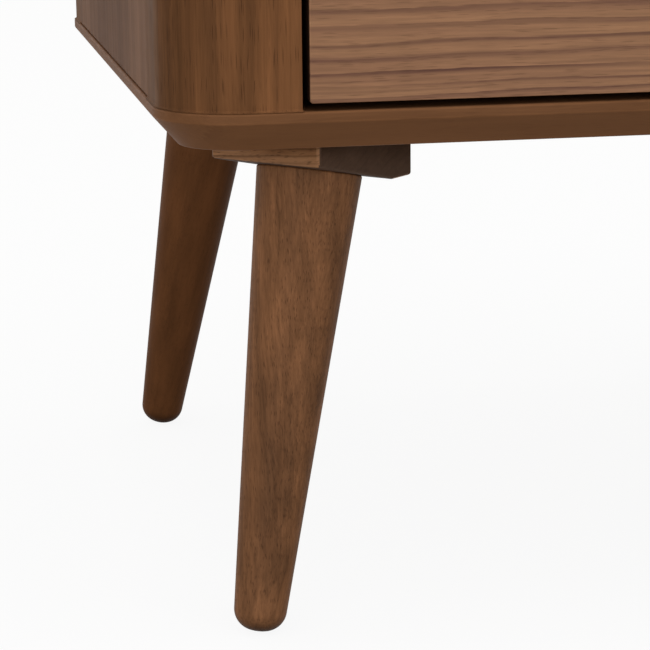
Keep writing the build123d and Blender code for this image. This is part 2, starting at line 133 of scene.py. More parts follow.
# ---- Surfaces --------------------------------------------------------------------------------
def linked(name: str, data: bpy.types.ID) -> bpy.types.Object:
    """Put a new object with its mesh, lamp or camera into the scene.

    Args:
        name: The object's name.
        data: Its mesh, lamp or camera.

    Returns:
        The new object, at the origin.
    """
    made = bpy.data.objects.new(name, data)
    bpy.context.scene.collection.objects.link(made)
    return made


@dataclass
class Surface:
    """Points and faces of one closed piece.

    Attributes:
        points: One row of X, Y and Z for each point.
        quads: Smooth faces with four corners.
        fans: Smooth triangles that close a pole.
        caps: Flat faces with any number of corners.
        edge: The mask that is 1 on rounded edges.
        end: The mask that darkens a leg's foot towards the floor, if the piece has one.
    """

    points: Array
    quads: Array
    edge: Array
    fans: list[list[int]] = field(default_factory=list)
    caps: list[list[int]] = field(default_factory=list)
    end: Array | None = None

    def placed(self, place: Matrix) -> "Surface":
        """Turn and move the points: each becomes the matrix times the point, plus its shift.

        Args:
            place: A matrix of four rows that turns and moves.

        Returns:
            The same surface at its new place.
        """
        turn = np.array(place.to_3x3())
        self.points = self.points @ turn.T + np.array(place.translation)
        return self

    def build(self, name: str) -> bpy.types.Object:
        """Write the surface into a new object at the origin.

        Args:
            name: The object's name.

        Returns:
            The new object.
        """
        mesh = bpy.data.meshes.new(name)
        faces = self.quads.tolist() + self.fans + self.caps
        mesh.from_pydata(self.points.tolist(), [], faces)
        smooth = np.arange(len(faces)) < len(faces) - len(self.caps)
        mesh.polygons.foreach_set("use_smooth", smooth)
        for label, values in ((EDGE, self.edge), (FOOT_DARK, self.end)):
            if values is not None:
                mask = mesh.attributes.new(label, "FLOAT", "POINT")
                mask.data.foreach_set("value", values.astype(np.float32))
        mesh.update()
        return linked(name, mesh)


def outer_corner(node: str, side: Side, end: End) -> Array:
    """The corner of a node's box at one side and one end of the case.

    Args:
        node: The node.
        side: Left or right.
        end: Front or back.

    Returns:
        X and Y of that corner.
    """
    low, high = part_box(node)
    return np.array((high.x if side is Side.RIGHT else low.x, high.y if end is End.BACK else low.y))


def ring_quads(rows: int, columns: int) -> Array:
    """Faces between the neighbours of a grid whose columns close into rings.

    Args:
        rows: Number of rings.
        columns: Number of points on each ring.

    Returns:
        Four indices for each face, which looks outwards where the rings run anticlockwise upwards.
    """
    index = np.arange(rows * columns).reshape(rows, columns)
    ahead = np.roll(index, -1, axis=1)
    return np.stack((index[:-1], ahead[:-1], ahead[1:], index[1:]), axis=-1).reshape(-1, 4)


def stacked(plan: Array, heights: Array) -> Array:
    """Put the height of each ring beside its points.

    Args:
        plan: Rings of X and Y, as rings x points x 2.
        heights: The height of each ring.

    Returns:
        Rows of X, Y and Z, ring after ring.
    """
    level = np.broadcast_to(heights[:, None, None], (*plan.shape[:2], 1))
    return np.concatenate((plan, level), axis=-1).reshape(-1, 3)


def capped(plan: Array, heights: Array, mask: Array) -> Surface:
    """Join rings into a wall, and close both ends with flat faces.

    Args:
        plan: Rings of X and Y, as rings x points x 2, anticlockwise seen from above.
        heights: The height of each ring, from the lowest up.
        mask: Edge mask of the points, ring after ring.

    Returns:
        The closed surface.
    """
    rows, columns = plan.shape[:2]
    last = (rows - 1) * columns
    caps = [list(range(columns))[::-1], list(range(last, last + columns))]
    return Surface(stacked(plan, heights), ring_quads(rows, columns), mask, caps=caps)


def eased_corners(corners: Array, radii: Array, steps: int) -> tuple[Array, Array]:
    """Round every corner of a closed outline.

    The arc at a corner starts radius * tan(half the turn) before it. Its points lie at
    start + radius * (sin(t) * way in + (1 - cos(t)) * inward normal), for t from zero to the whole turn,
    with a guard point just before and just after.

    Args:
        corners: Rows of two coordinates.
        radii: The radius at each corner.
        steps: Points on each arc.

    Returns:
        The points as corners x (steps + 2) x 2, and the edge mask of the same layout.
    """
    into = corners - np.roll(corners, 1, axis=0)
    into = into / np.linalg.norm(into, axis=1, keepdims=True)
    away = np.roll(into, -1, axis=0)
    turn = np.arctan2(into[:, 0] * away[:, 1] - into[:, 1] * away[:, 0], (into * away).sum(axis=1))
    inward = np.sign(turn)[:, None] * np.stack((-into[:, 1], into[:, 0]), axis=1)
    reach = (radii * np.tan(np.abs(turn) / 2))[:, None]
    start = corners - into * reach
    sweep = np.abs(turn)[:, None] * np.linspace(0, 1, steps)
    ahead = np.sin(sweep)[..., None] * into[:, None]
    aside = (1 - np.cos(sweep))[..., None] * inward[:, None]
    arc = start[:, None] + radii[:, None, None] * (ahead + aside)
    before = (start - into * GUARD)[:, None]
    after = (corners + away * (reach + GUARD))[:, None]
    mask = np.ones((len(corners), steps + 2))
    mask[:, [0, -1]] = 0
    return np.concatenate((before, arc, after), axis=1), mask


def eased_profile(corners: Array, radii: Array, steps: int) -> tuple[Array, Array]:
    """Round the inner corners of an open outline, and keep its two ends.

    Args:
        corners: Rows of two coordinates.
        radii: The radius at each inner corner.
        steps: Points on each arc.

    Returns:
        The points in order, and their edge mask.
    """
    points, mask = eased_corners(corners, np.pad(radii, 1, constant_values=GUARD), steps)
    inner = points[1:-1].reshape(-1, 2)
    return np.vstack((corners[:1], inner, corners[-1:])), np.pad(mask[1:-1].ravel(), 1)


def bowed(start: Pair, stop: Pair, bow: float, steps: int) -> Array:
    """A circular arc between two points, by its rise over the middle of the chord.

    With half the chord h, the radius is (h * h + bow * bow) / (2 * bow). At a place u from -h to h along
    the chord the arc stands off it by sqrt(radius * radius - u * u) - (radius - bow).

    Args:
        start: First point.
        stop: Last point.
        bow: Rise to the left of the way from start to stop.
        steps: Points on the arc.

    Returns:
        Rows of two coordinates.
    """
    ends = np.array((start, stop))
    chord = ends[1] - ends[0]
    half = np.linalg.norm(chord) / 2
    radius = (half**2 + bow**2) / (2 * bow)
    along = np.linspace(-half, half, steps)
    rise = np.sqrt(radius**2 - along**2) - (radius - bow)
    way = chord / (2 * half)
    return ends.mean(axis=0) + along[:, None] * way + rise[:, None] * np.array((-way[1], way[0]))


def carried_round(half: Pair, radius: float, profile: Array, mask: Array, steps: int) -> Surface:
    """Carry a profile round a rectangle with rounded corners, and close both ends with flat faces.

    The corners are quarter turns about four fixed centres. A point of the profile lies (radius - inset)
    from them, so that each ring is parallel to the outermost one. Each quarter turn has a guard point on
    its tangent, just before and just after.

    Args:
        half: Half of the rectangle's two sides.
        radius: Plan radius of its corners.
        profile: Rows of inset and height, from the lowest to the highest.
        mask: Edge mask of the profile.
        steps: Points on each corner.

    Returns:
        The closed surface about the rectangle's centre.
    """
    quarters = np.arange(4)[:, None] * math.pi / 2
    angles = quarters + np.linspace(0, math.pi / 2, steps)[[0, *range(steps), -1]]
    outward = np.stack((np.cos(angles), np.sin(angles)), axis=-1)
    tangent = np.stack((-np.sin(angles), np.cos(angles)), axis=-1)
    slide = np.zeros(steps + 2)
    slide[[0, -1]] = (-GUARD, GUARD)
    signs = np.array(((1, 1), (-1, 1), (-1, -1), (1, -1)))
    base = (signs * (np.array(half) - radius))[:, None] + tangent * slide[:, None]
    rings = base + (radius - profile[:, 0])[:, None, None, None] * outward
    rows, columns = len(profile), 4 * (steps + 2)
    return capped(rings.reshape(rows, columns, 2), profile[:, 1], np.repeat(mask, columns))


def extruded(outline: Array, mask: Array, low: float, high: float, ease: float) -> Surface:
    """Stand a closed plan outline up between two heights, with both ends eased.

    Each point of the outline is repeated on rings between low and high. A ring that is ARRIS_RISE times
    ease from its end stands in by ARRIS_INSET times ease, which rounds the arris. It stands in against
    the outward normal, which is square to the way between a point's two neighbours.

    Args:
        outline: Rows of X and Y, anticlockwise seen from above.
        mask: Edge mask of the outline.
        low: Height of the lower end.
        high: Height of the upper end.
        ease: How far the ends stand in.

    Returns:
        The closed surface.
    """
    along = np.roll(outline, -1, axis=0) - np.roll(outline, 1, axis=0)
    outward = np.stack((along[:, 1], -along[:, 0]), axis=1)
    outward /= np.linalg.norm(outward, axis=1, keepdims=True)
    heights = np.concatenate((low + ease * ARRIS_RISE, high - ease * ARRIS_RISE[::-1]))
    insets = ease * np.concatenate((ARRIS_INSET, ARRIS_INSET[::-1]))
    return capped(outline - insets[:, None, None] * outward, heights, np.tile(mask, len(heights)))


def turned(profile: Array, mask: Array, segments: int) -> Surface:
    """Turn a profile about Z, and close both ends at a pole.

    A point of the profile gives the ring (radius * cos(a), radius * sin(a), height), with the angle a
    evenly round the axis.

    Args:
        profile: Rows of radius and height from the lower pole to the upper one.
        mask: Edge mask of the profile.
        segments: Points on each ring.

    Returns:
        The closed surface about the axis.
    """
    angles = np.arange(segments) * 2 * math.pi / segments
    inner = profile[1:-1]
    plan = inner[:, 0][:, None, None] * np.stack((np.cos(angles), np.sin(angles)), axis=-1)
    rings = stacked(plan, inner[:, 1])
    poles = np.array(((0, 0, profile[0, 1]), (0, 0, profile[-1, 1])))
    first, last = len(rings), len(rings) + 1
    around = np.arange(segments)
    ahead = np.roll(around, -1)
    top = (len(inner) - 1) * segments
    lower = np.stack((np.full(segments, first), ahead, around), axis=1)
    upper = np.stack((np.full(segments, last), top + around, top + ahead), axis=1)
    edge = np.concatenate((np.repeat(mask[1:-1], segments), (0, 0)))
    fans = lower.tolist() + upper.tolist()
    return Surface(np.vstack((rings, poles)), ring_quads(len(inner), segments), edge, fans=fans)


# ---- Finishes --------------------------------------------------------------------------------
def srgb(code: str) -> Colour:
    """Turn a six-digit colour into linear light.

    A channel c above 0.04045 becomes ((c + 0.055) / 1.055) to the power 2.4, and any other c / 12.92.

    Args:
        code: Red, green and blue as six hexadecimal digits.

    Returns:
        Red, green and blue from 0 to 1, and an alpha of 1.
    """
    channels = np.array([int(code[at:at + 2], 16) for at in (0, 2, 4)]) / 255
    linear = np.where(channels > 0.04045, ((channels + 0.055) / 1.055) ** 2.4, channels / 12.92)
    return (*linear.tolist(), 1.0)


class Tree:
    """Writes a node tree with short calls."""

    def __init__(self, tree: bpy.types.NodeTree) -> None:
        """Start on an empty tree."""
        self.nodes = tree.nodes
        self.links = tree.links

    def feed(self, socket: Socket, value: object) -> None:
        """Link a socket to an output, or set it to a plain value.

        Args:
            socket: The input socket.
            value: The output or the value.
        """
        if isinstance(value, Socket):
            self.links.new(value, socket)
        else:
            socket.default_value = value

    def add(self, kind: str, inputs: dict[str | int, object], **settings: object) -> bpy.types.Node:
        """Add a node.

        Args:
            kind: Blender's name of the node type.
            inputs: Value or output for each input that is set.
            settings: The node's own options.

        Returns:
            The new node.
        """
        node = self.nodes.new(kind)
        for key, value in settings.items():
            setattr(node, key, value)
        for key, value in inputs.items():
            self.feed(node.inputs[key], value)
        return node

    def math(self, operation: str, *values: object) -> Socket:
        """One arithmetic step on plain numbers."""
        return self.add("ShaderNodeMath", dict(enumerate(values)), operation=operation).outputs[0]

    def vector(self, operation: str, *values: object) -> Socket:
        """One arithmetic step on vectors."""
        return self.add("ShaderNodeVectorMath", dict(enumerate(values)), operation=operation).outputs[0]

    def noise(self, place: Socket, waves: Triple, detail: float = 0.0, roughness: float = 0.5) -> Socket:
        """Smooth noise that wanders between 0 and 1 about 0.5.

        Args:
            place: The place on the noise's axes.
            waves: Waves to a metre along each axis.
            detail: How many finer noises are added to it.
            roughness: The share of each finer noise in the one before it.

        Returns:
            The noise.
        """
        inputs = {"Vector": self.vector("MULTIPLY", place, waves), "Scale": 1.0, "Detail": detail,
                  "Roughness": roughness}
        return self.add("ShaderNodeTexNoise", inputs).outputs[0]

    def step(self, value: Socket, start: float, stop: float) -> Socket:
        """A soft step t * t * (3 - 2 * t), whose t rises from 0 at start to 1 at stop."""
        inputs = {0: value, 1: start, 2: stop, 3: 0.0, 4: 1.0}
        return self.add("ShaderNodeMapRange", inputs, interpolation_type="SMOOTHSTEP").outputs[0]

    def swing(self, value: Socket, amount: object) -> Socket:
        """A noise value about its middle, times an amount."""
        return self.times(self.math("SUBTRACT", value, 0.5), amount)

    def total(self, *values: object) -> Socket:
        """The sum of plain numbers."""
        return reduce(lambda sofar, value: self.math("ADD", sofar, value), values)

    def times(self, first: object, second: object) -> Socket:
        """The product of two plain numbers."""
        return self.math("MULTIPLY", first, second)

    def lifted(self, value: Socket, least: float) -> Socket:
        """A value from 0 to 1 moved into what is left above the least."""
        return self.math("MULTIPLY_ADD", value, 1.0 - least, least)

    def scaled(self, vector: Socket, amount: object) -> Socket:
        """A colour or vector times a plain number."""
        inputs = {0: vector, "Scale": amount}
        return self.add("ShaderNodeVectorMath", inputs, operation="SCALE").outputs[0]

    def mix(self, share: object, first: object, second: object) -> Socket:
        """The first colour with a share of the second in it."""
        inputs = {0: share, 6: first, 7: second}
        return self.add("ShaderNodeMix", inputs, data_type="RGBA").outputs[2]

    def use(self, group: bpy.types.NodeTree, inputs: dict[str, object]) -> bpy.types.NodeOutputs:
        """Add a node group and give its outputs."""
        return self.add("ShaderNodeGroup", inputs, node_tree=group).outputs

    def shade(self, strength: float, relief: float, height: Socket, inputs: dict[str, object]) -> None:
        """Feed the material's shader.

        Args:
            strength: How strongly the bumps turn the normal.
            relief: How deep they are, in metres for a height of 1.
            height: Where they rise.
            inputs: Value or output for each of the shader's other inputs that is set.
        """
        bump = {"Strength": strength, "Distance": relief, "Height": height}
        shader = self.nodes["Principled BSDF"]
        for label, value in (inputs | {"Normal": self.add("ShaderNodeBump", bump).outputs[0]}).items():
            self.feed(shader.inputs[label], value)


class Group:
    """A shader node group with named sockets."""

    def __init__(self, name: str, inputs: dict[str, str], outputs: dict[str, str]) -> None:
        """Make the group.

        Args:
            name: The group's name.
            inputs: Kind of each input socket by name: Vector, Color or Float.
            outputs: Kind of each output socket by name.
        """
        self.made = bpy.data.node_groups.new(name, "ShaderNodeTree")
        for way, sockets in (("INPUT", inputs), ("OUTPUT", outputs)):
            for label, kind in sockets.items():
                self.made.interface.new_socket(label, in_out=way, socket_type=f"NodeSocket{kind}")
        self.tree = Tree(self.made)
        self.given = self.made.nodes.new("NodeGroupInput").outputs
        self.result = self.made.nodes.new("NodeGroupOutput").inputs

    def put_out(self, **values: Socket) -> bpy.types.NodeTree:
        """Link the results to the group's outputs.

        Args:
            values: The result for each output by name.

        Returns:
            The finished group.
        """
        for label, value in values.items():
            self.tree.feed(self.result[label], value)
        return self.made


class Habit:
    """What all the woods share. Waves are to a metre: along the fibres, across them, into the face."""

    SWAY_WAVES = (1.9, 9.0, 9.0)
    RIPPLE_WAVES = (17.0, 90.0, 90.0)
    FIBRE_WAVES = (34.0, 950.0, 950.0)
    UNEVEN_WAVES = (0.8, 26.0, 26.0)
    STRENGTH_WAVES = (5.0, 110.0, 110.0)
    ZONE_WAVES = (1.5, 17.0, 17.0)
    PORE_WAVES = (95.0, 1900.0, 1900.0)
    BAND_WAVES = (2.6, 150.0, 150.0)
    CLOUD_WAVES = (1.6, 11.0, 11.0)
    FIBRE_GRIT = 0.66           # share of each finer noise in the one before it, in the fibres
    BAND_GRIT = 0.6             # and in the bands
    RIPPLE = 0.0018             # how far the ripple bends the layers
    FRAY = 0.3                  # how far the fibres fray a layer's edge, in layers
    DARKENS = (0.42, 0.9)       # part of a layer over which it darkens
    ENDS = (0.93, 1.0)          # and over which it ends
    STRENGTH = (0.3, 0.7)       # noise over which its line gains strength
    WEAKEST = 0.25              # its least strength
    FAINT_COUNT = 2.37          # fainter lines to a layer
    FAINT_RISE = (0.55, 1.0)    # the part of their spacing that they take
    FAINT = 0.4                 # how strong they are
    ZONE = (0.25, 0.6)          # noise over which a zone's lines gain strength
    ZONE_LEAST = 0.4            # their least strength
    COMBING = 1.2               # how far the fibres break the lines up
    PORE_EDGE = (0.18, 0.42)    # distance from a cell's middle over which its pore ends
    PORE_CHANCE = (0.3, 0.9)    # chance over which a pore is kept
    PORE_CROWD = 0.4            # how much likelier that is in the dark part of a layer
    PORE_BANDS = 1.8            # and in the dark bands
    PORE_ROUGH = 0.2            # how much rougher the pores are
    FIBRE_ROUGH = 0.16          # how unevenly the fibres shine
    FIBRE_HEIGHT = 0.5          # how high they stand beside the pores' depth


@cache
def timber_group() -> bpy.types.NodeTree:
    """Sawn wood on axes that run along the fibres, across them and out of the face.

    The growth layers are rings about the tree's heart, whose distance is the length of the two cross
    axes after slow noise and a fine ripple have bent them. The part of that distance over the layer's
    width that is left after whole layers darkens slowly and ends sharply, more strongly in some places
    and zones than in others, and fainter lines stand between where the layers are weak. Bands and fibres
    are noise drawn out along the first axis, the ripple also mottles the ground, and pores are the
    middles of drawn-out cells, closer together in the dark part of each layer. Shorten is above 1 where
    the saw met the fibres at an angle, so that all of these are cut short.

    Returns:
        The group, which puts out Color, Roughness and Height.
    """
    inputs = {"Vector": "Vector"} | dict.fromkeys(COLOURS, "Color") | dict.fromkeys(AMOUNTS, "Float")
    group = Group("timber", inputs, {"Color": "Color", "Roughness": "Float", "Height": "Float"})
    tree, given = group.tree, group.given
    along = tree.add("ShaderNodeCombineXYZ", {"X": given["shorten"], "Y": 1.0, "Z": 1.0}).outputs[0]
    place = tree.vector("MULTIPLY", given["Vector"], along)

    slow = tree.swing(tree.noise(place, Habit.SWAY_WAVES, 1.0), given["sway"])
    ripple = tree.noise(place, Habit.RIPPLE_WAVES)
    bend = tree.total(slow, tree.swing(ripple, Habit.RIPPLE))
    shift = tree.add("ShaderNodeCombineXYZ", {"Y": bend, "Z": bend}).outputs[0]
    bent = tree.vector("ADD", place, shift)
    fibre = tree.noise(bent, Habit.FIBRE_WAVES, 3.0, Habit.FIBRE_GRIT)

    flat = tree.vector("MULTIPLY", bent, (0.0, 1.0, 1.0))
    reach = tree.add("ShaderNodeVectorMath", {0: flat}, operation="LENGTH").outputs["Value"]
    uneven = tree.swing(tree.noise(bent, Habit.UNEVEN_WAVES, 2.0), given["uneven"])
    count = tree.total(tree.math("DIVIDE", reach, given["layer"]), uneven)
    part = tree.math("FRACT", tree.total(count, tree.swing(fibre, Habit.FRAY)))
    rise = tree.step(part, *Habit.DARKENS)
    line = tree.times(rise, tree.math("SUBTRACT", rise, tree.step(part, *Habit.ENDS)))
    strength = tree.step(tree.noise(bent, Habit.STRENGTH_WAVES, 1.0), *Habit.STRENGTH)
    lines = tree.times(line, tree.lifted(strength, Habit.WEAKEST))
    minor = tree.step(tree.math("PINGPONG", tree.times(count, Habit.FAINT_COUNT), 1.0), *Habit.FAINT_RISE)
    faint = tree.times(minor, tree.math("SUBTRACT", 1.0, strength))
    zone = tree.step(tree.noise(place, Habit.ZONE_WAVES), *Habit.ZONE)
    combing = tree.total(tree.swing(fibre, Habit.COMBING), 1.0)
    clear = tree.times(tree.lifted(zone, Habit.ZONE_LEAST), combing)
    streaks = tree.times(tree.math("MULTIPLY_ADD", faint, Habit.FAINT, lines), clear)

    cells = {"Vector": tree.vector("MULTIPLY", bent, Habit.PORE_WAVES), "Scale": 1.0}
    cell = tree.add("ShaderNodeTexVoronoi", cells).outputs
    dash = tree.math("SUBTRACT", 1.0, tree.step(cell["Distance"], *Habit.PORE_EDGE))
    chance = tree.add("ShaderNodeSeparateColor", {0: cell["Color"]}).outputs[0]
    bands = tree.noise(bent, Habit.BAND_WAVES, 2.0, Habit.BAND_GRIT)
    crowd = tree.math("SUBTRACT", tree.times(streaks, Habit.PORE_CROWD), tree.swing(bands, Habit.PORE_BANDS))
    kept = tree.step(tree.total(chance, crowd), *Habit.PORE_CHANCE)
    pores = tree.times(tree.times(dash, kept), given["pores"])

    cloud = tree.swing(tree.noise(place, Habit.CLOUD_WAVES, 2.0), given["cloud"])
    share = tree.total(cloud, tree.swing(bands, given["bands"]), tree.swing(ripple, given["mottle"]), 0.5)
    ground = tree.mix(share, given["dark"], given["light"])
    streaked = tree.mix(tree.times(streaks, given["layers"]), ground, given["streak"])
    combed = tree.scaled(streaked, tree.total(tree.swing(fibre, given["fibres"]), 1.0))
    colour = tree.mix(pores, combed, given["pore"])
    rough = tree.total(given["gloss"], tree.times(pores, Habit.PORE_ROUGH),
                       tree.swing(fibre, Habit.FIBRE_ROUGH))
    height = tree.math("SUBTRACT", tree.swing(fibre, Habit.FIBRE_HEIGHT), pores)
    return group.put_out(Color=colour, Roughness=rough, Height=height)


WEAR_WAVES = (60.0, 60.0, 60.0)
WEAR_PATCHES = (0.3, 0.7)   # noise over which a patch of an edge is worn and painted lighter
WEAR_AND_HIGHLIGHT = (0.5, 0.1)           # how much more a patch is worn and painted lighter, and how much every edge is
WEAR_AND_HIGHLIGHT_LIGHT = 1.3            # how many times as light those edges are: wear, and a painted highlight
WORN_POLISH = 0.12          # how much smoother it is
FOOT_DARKENING = 0.75             # how much darker a foot is where that mask is 1


@cache
def handled_group() -> bpy.types.NodeTree:
    """Wear and a painted highlight on rounded edges, and a darker foot.

    A noise picks patches of the edge mask. There the colour is multiplied towards WEAR_AND_HIGHLIGHT_LIGHT,
    partly wear and partly a painted highlight, and the roughness falls by WORN_POLISH. Where the foot mask
    is 1 the colour is multiplied by 1 - FOOT_DARKENING, so that the foot darkens towards the floor.

    Returns:
        The group, which puts out Color and Roughness.
    """
    inputs = {"Vector": "Vector", "Color": "Color", "Roughness": "Float", EDGE: "Float", FOOT_DARK: "Float"}
    group = Group("handled edges", inputs, {"Color": "Color", "Roughness": "Float"})
    tree, given = group.tree, group.given
    patches = tree.step(tree.noise(given["Vector"], WEAR_WAVES, 2.0), *WEAR_PATCHES)
    edge_wear_and_highlight = tree.times(given[EDGE], tree.math("MULTIPLY_ADD", patches, *WEAR_AND_HIGHLIGHT))
    rubbed = tree.mix(edge_wear_and_highlight, given["Color"], tree.scaled(given["Color"], WEAR_AND_HIGHLIGHT_LIGHT))
    colour = tree.scaled(rubbed, tree.math("MULTIPLY_ADD", given[FOOT_DARK], -FOOT_DARKENING, 1.0))
    rough = tree.math("SUBTRACT", given["Roughness"], tree.times(edge_wear_and_highlight, WORN_POLISH))
    return group.put_out(Color=colour, Roughness=rough)


LINE_WAVES = (60.0, 2600.0, 2600.0)
SHEEN_WAVES = (90.0, 90.0, 90.0)
LINE_TONE, SHEEN_TONE = 0.5, 0.7        # contrast of the lines and the clouds in colour
LINE_ROUGH, SHEEN_ROUGH = 0.25, 0.2     # and in roughness


@cache
def rolled_group() -> bpy.types.NodeTree:
    """Plated sheet or wire.

    Fine lines drawn out along the first axis and soft clouds are added up about 0.5, and mix the colour
    from dark to light. They make the roughness uneven in the same way, and the lines are the height.

    Returns:
        The group, which puts out Color, Roughness and Height.
    """
    inputs = {"Vector": "Vector", "light": "Color", "dark": "Color", "gloss": "Float"}
    group = Group("plated metal", inputs, {"Color": "Color", "Roughness": "Float", "Height": "Float"})
    tree, given = group.tree, group.given
    lines = tree.noise(given["Vector"], LINE_WAVES, 2.0)
    clouds = tree.noise(given["Vector"], SHEEN_WAVES, 3.0)
    share = tree.total(tree.swing(lines, LINE_TONE), tree.swing(clouds, SHEEN_TONE), 0.5)
    uneven = tree.total(tree.swing(lines, LINE_ROUGH), tree.swing(clouds, SHEEN_ROUGH))
    rough = tree.total(given["gloss"], uneven)
    return group.put_out(Color=tree.mix(share, given["dark"], given["light"]), Roughness=rough, Height=lines)


class Finisher:
    """Starts a material and gives each board its own stretch of figure."""

    def __init__(self) -> None:
        """Start the row of random places, which is the same on each run."""
        self.places = np.random.default_rng(PATTERN_SEED)

    def start(self, name: str, axes: Matrix, heart: Pair = (0.0, 0.0),
              tilt: float = 0.0) -> tuple[Tree, Socket, bpy.types.Material]:
        """Make a material with a mapping from the object's axes to its own.

        Args:
            name: The material's name.
            axes: Rows along the fibres or lines, across them and out of the face.
            heart: How far across and how deep the tree's heart lies.
            tilt: Turn of the fibres on the face, in degrees.

        Returns:
            The material's tree, the mapped place and the material.
        """
        material = bpy.data.materials.new(name)
        material.use_nodes = True
        tree = Tree(material.node_tree)
        turned_axes = Matrix.Rotation(math.radians(tilt), 3, "Z") @ axes
        along = self.places.uniform(-PATTERN_REACH, PATTERN_REACH)
        place = tree.add("ShaderNodeTexCoord", {}).outputs["Object"]
        mapped = tree.add("ShaderNodeMapping", {"Vector": place, "Location": (along, *heart),
                                                "Rotation": turned_axes.to_euler("XYZ")}).outputs[0]
        return tree, mapped, material


FINISHER = Finisher()


@dataclass(frozen=True)
class Timber:
    """One kind of wood with its surface finish.

    Attributes:
        slot: The record's material slot.
        light: Colour of the pale clouds.
        dark: Colour of the dark clouds.
        streak: Colour of the dark part of a growth layer.
        pore: Colour in the pores.
        layer: Mean width of a growth layer.
        layers: How strongly the layers show.
        sway: How far they wander.
        uneven: How unlike their widths are, in layers.
        shorten: How much shorter than along a level cut the figure is.
        cloud: Contrast between pale and dark clouds.
        mottle: Contrast of the small soft patches that lie across the clouds.
        bands: Contrast of the bands that run along the board.
        fibres: Contrast of the fibres.
        pores: How strongly the pores show.
        gloss: Roughness between the pores.
        relief: Depth of the fibres and pores.
        bump: How strongly that depth shows.
        shine: Specular level of the lacquer.
    """

    slot: str
    light: str
    dark: str
    streak: str
    pore: str
    layer: float = 0.005
    layers: float = 0.7
    sway: float = 0.03
    uneven: float = 2.4
    shorten: float = 1.0
    cloud: float = 1.6
    mottle: float = 0.5
    bands: float = 0.8
    fibres: float = 0.5
    pores: float = 0.6
    gloss: float = 0.45
    relief: float = 0.00008
    bump: float = 1.0
    shine: float = 0.12

    def material(self, name: str, axes: Matrix, heart: Pair = (0.4, 0.12),
                 tilt: float = 0.0) -> bpy.types.Material:
        """Dress one board.

        Args:
            name: The material's name.
            axes: Rows along the fibres, across them and out of the face.
            heart: How far across and how deep the tree's heart lies.
            tilt: Turn of the fibres on the face, in degrees.

        Returns:
            The new material.
        """
        tree, place, material = FINISHER.start(name, axes, heart, tilt)
        inputs = {"Vector": place} | {label: srgb(getattr(self, label)) for label in COLOURS}
        inputs |= {label: getattr(self, label) for label in AMOUNTS}
        wood = tree.use(timber_group(), inputs)
        inputs = {"Vector": place, "Color": wood["Color"], "Roughness": wood["Roughness"]}
        for mask in (EDGE, FOOT_DARK):
            inputs[mask] = tree.add("ShaderNodeAttribute", {}, attribute_name=mask).outputs["Fac"]
        # wear and a painted highlight on rounded edges, and a darker foot
        edge_wear_and_highlight = tree.use(handled_group(), inputs)
        tree.shade(self.bump, self.relief, wood["Height"], {
            "Base Color": edge_wear_and_highlight["Color"], "Roughness": edge_wear_and_highlight["Roughness"], "Specular IOR Level": self.shine})
        return material


@dataclass(frozen=True)
class Metal:
    """One plated or turned metal.

    Attributes:
        slot: The record's material slot.
        light: Colour of the bright clouds.
        dark: Colour of the dull clouds.
        gloss: Mean roughness.
        relief: Depth of the drawn lines.
        bump: How strongly that depth shows.
    """

    slot: str
    light: str
    dark: str
    gloss: float
    relief: float = 0.00002
    bump: float = 0.5

    def material(self, name: str, axes: Matrix) -> bpy.types.Material:
        """Dress one piece.

        Args:
            name: The material's name.
            axes: Rows along the drawn lines, across them and out of the face.

        Returns:
            The new material.
        """
        tree, place, material = FINISHER.start(name, axes)
        sheet = tree.use(rolled_group(), {"Vector": place, "light": srgb(self.light),
                                          "dark": srgb(self.dark), "gloss": self.gloss})
        tree.shade(self.bump, self.relief, sheet["Height"], {
            "Base Color": sheet["Color"], "Roughness": sheet["Roughness"], "Metallic": 1.0})
        return material


FRONT_VENEER = Timber("walnut_veneer", "9E7555", "88624A", "4C2F2C", "3B251C", layer=0.0046, layers=0.86,
                      sway=0.011, cloud=1.4, bands=1.4, fibres=0.8, pores=0.3, shine=0.08)
# painted shade: dark wood for the drawer fronts' edges, standing in for the shade in the gap round each front
GAP_SHADE_VENEER = Timber("walnut_veneer", "412C20", "33231A", "281B14", "1B120D", cloud=1.0, fibres=0.4,
                    pores=0.3, gloss=0.6, shine=0.03)
POST_VENEER = Timber("walnut_veneer", "7C5233", "543721", "402819", "25150E", layer=0.011, layers=0.3,
                     sway=0.012, uneven=3.0, cloud=2.2, bands=1.6, fibres=0.8, pores=0.45, gloss=0.55,
                     shine=0.028)
PANEL_VENEER = Timber("walnut_veneer", "7C5A43", "5E402C", "3F2819", "25160E", layer=0.010, layers=0.25,
                      sway=0.012, uneven=3.0, cloud=2.4, bands=1.2, fibres=0.6, pores=0.3, gloss=0.6,
                      shine=0.03)
# veneer of the posts' flat strips beside the side panels; carried onto the rounding it is a painted highlight
STRIP_AND_HIGHLIGHT_VENEER = replace(PANEL_VENEER, light="76533A", dark="5B402C", layers=0.2, cloud=1.2, bands=1.0)
PLATE_VENEER = Timber("walnut_veneer", "7C5437", "68452B", "4D301D", "2E1C12", layer=0.010, layers=0.2,
                      sway=0.01, uneven=3.0, bands=0.7, fibres=0.35, pores=0.12, gloss=0.55, shine=0.05)
TOP_VENEER = replace(PLATE_VENEER, layer=0.007, layers=0.55, bands=1.3, fibres=0.5, pores=0.3)
TURNED_WALNUT = Timber("solid_walnut", "845A3C", "61422C", "432919", "24140C", layer=0.012, layers=0.15,
                       sway=0.02, uneven=2.6, shorten=2.8, cloud=2.2, mottle=1.0, bands=2.0, fibres=1.2,
                       pores=0.45, gloss=0.5, shine=0.035)
# painted shade: a darker copy of the leg walnut for the back legs, which stand in the case's shadow
SHADED_BACK_LEG_WALNUT = replace(TURNED_WALNUT, light="6B4327", dark="4C2F1A", streak="37200F", pore="1D1009",
                        mottle=0.5, bands=1.0, fibres=0.4, pores=0.2, shine=0.03)
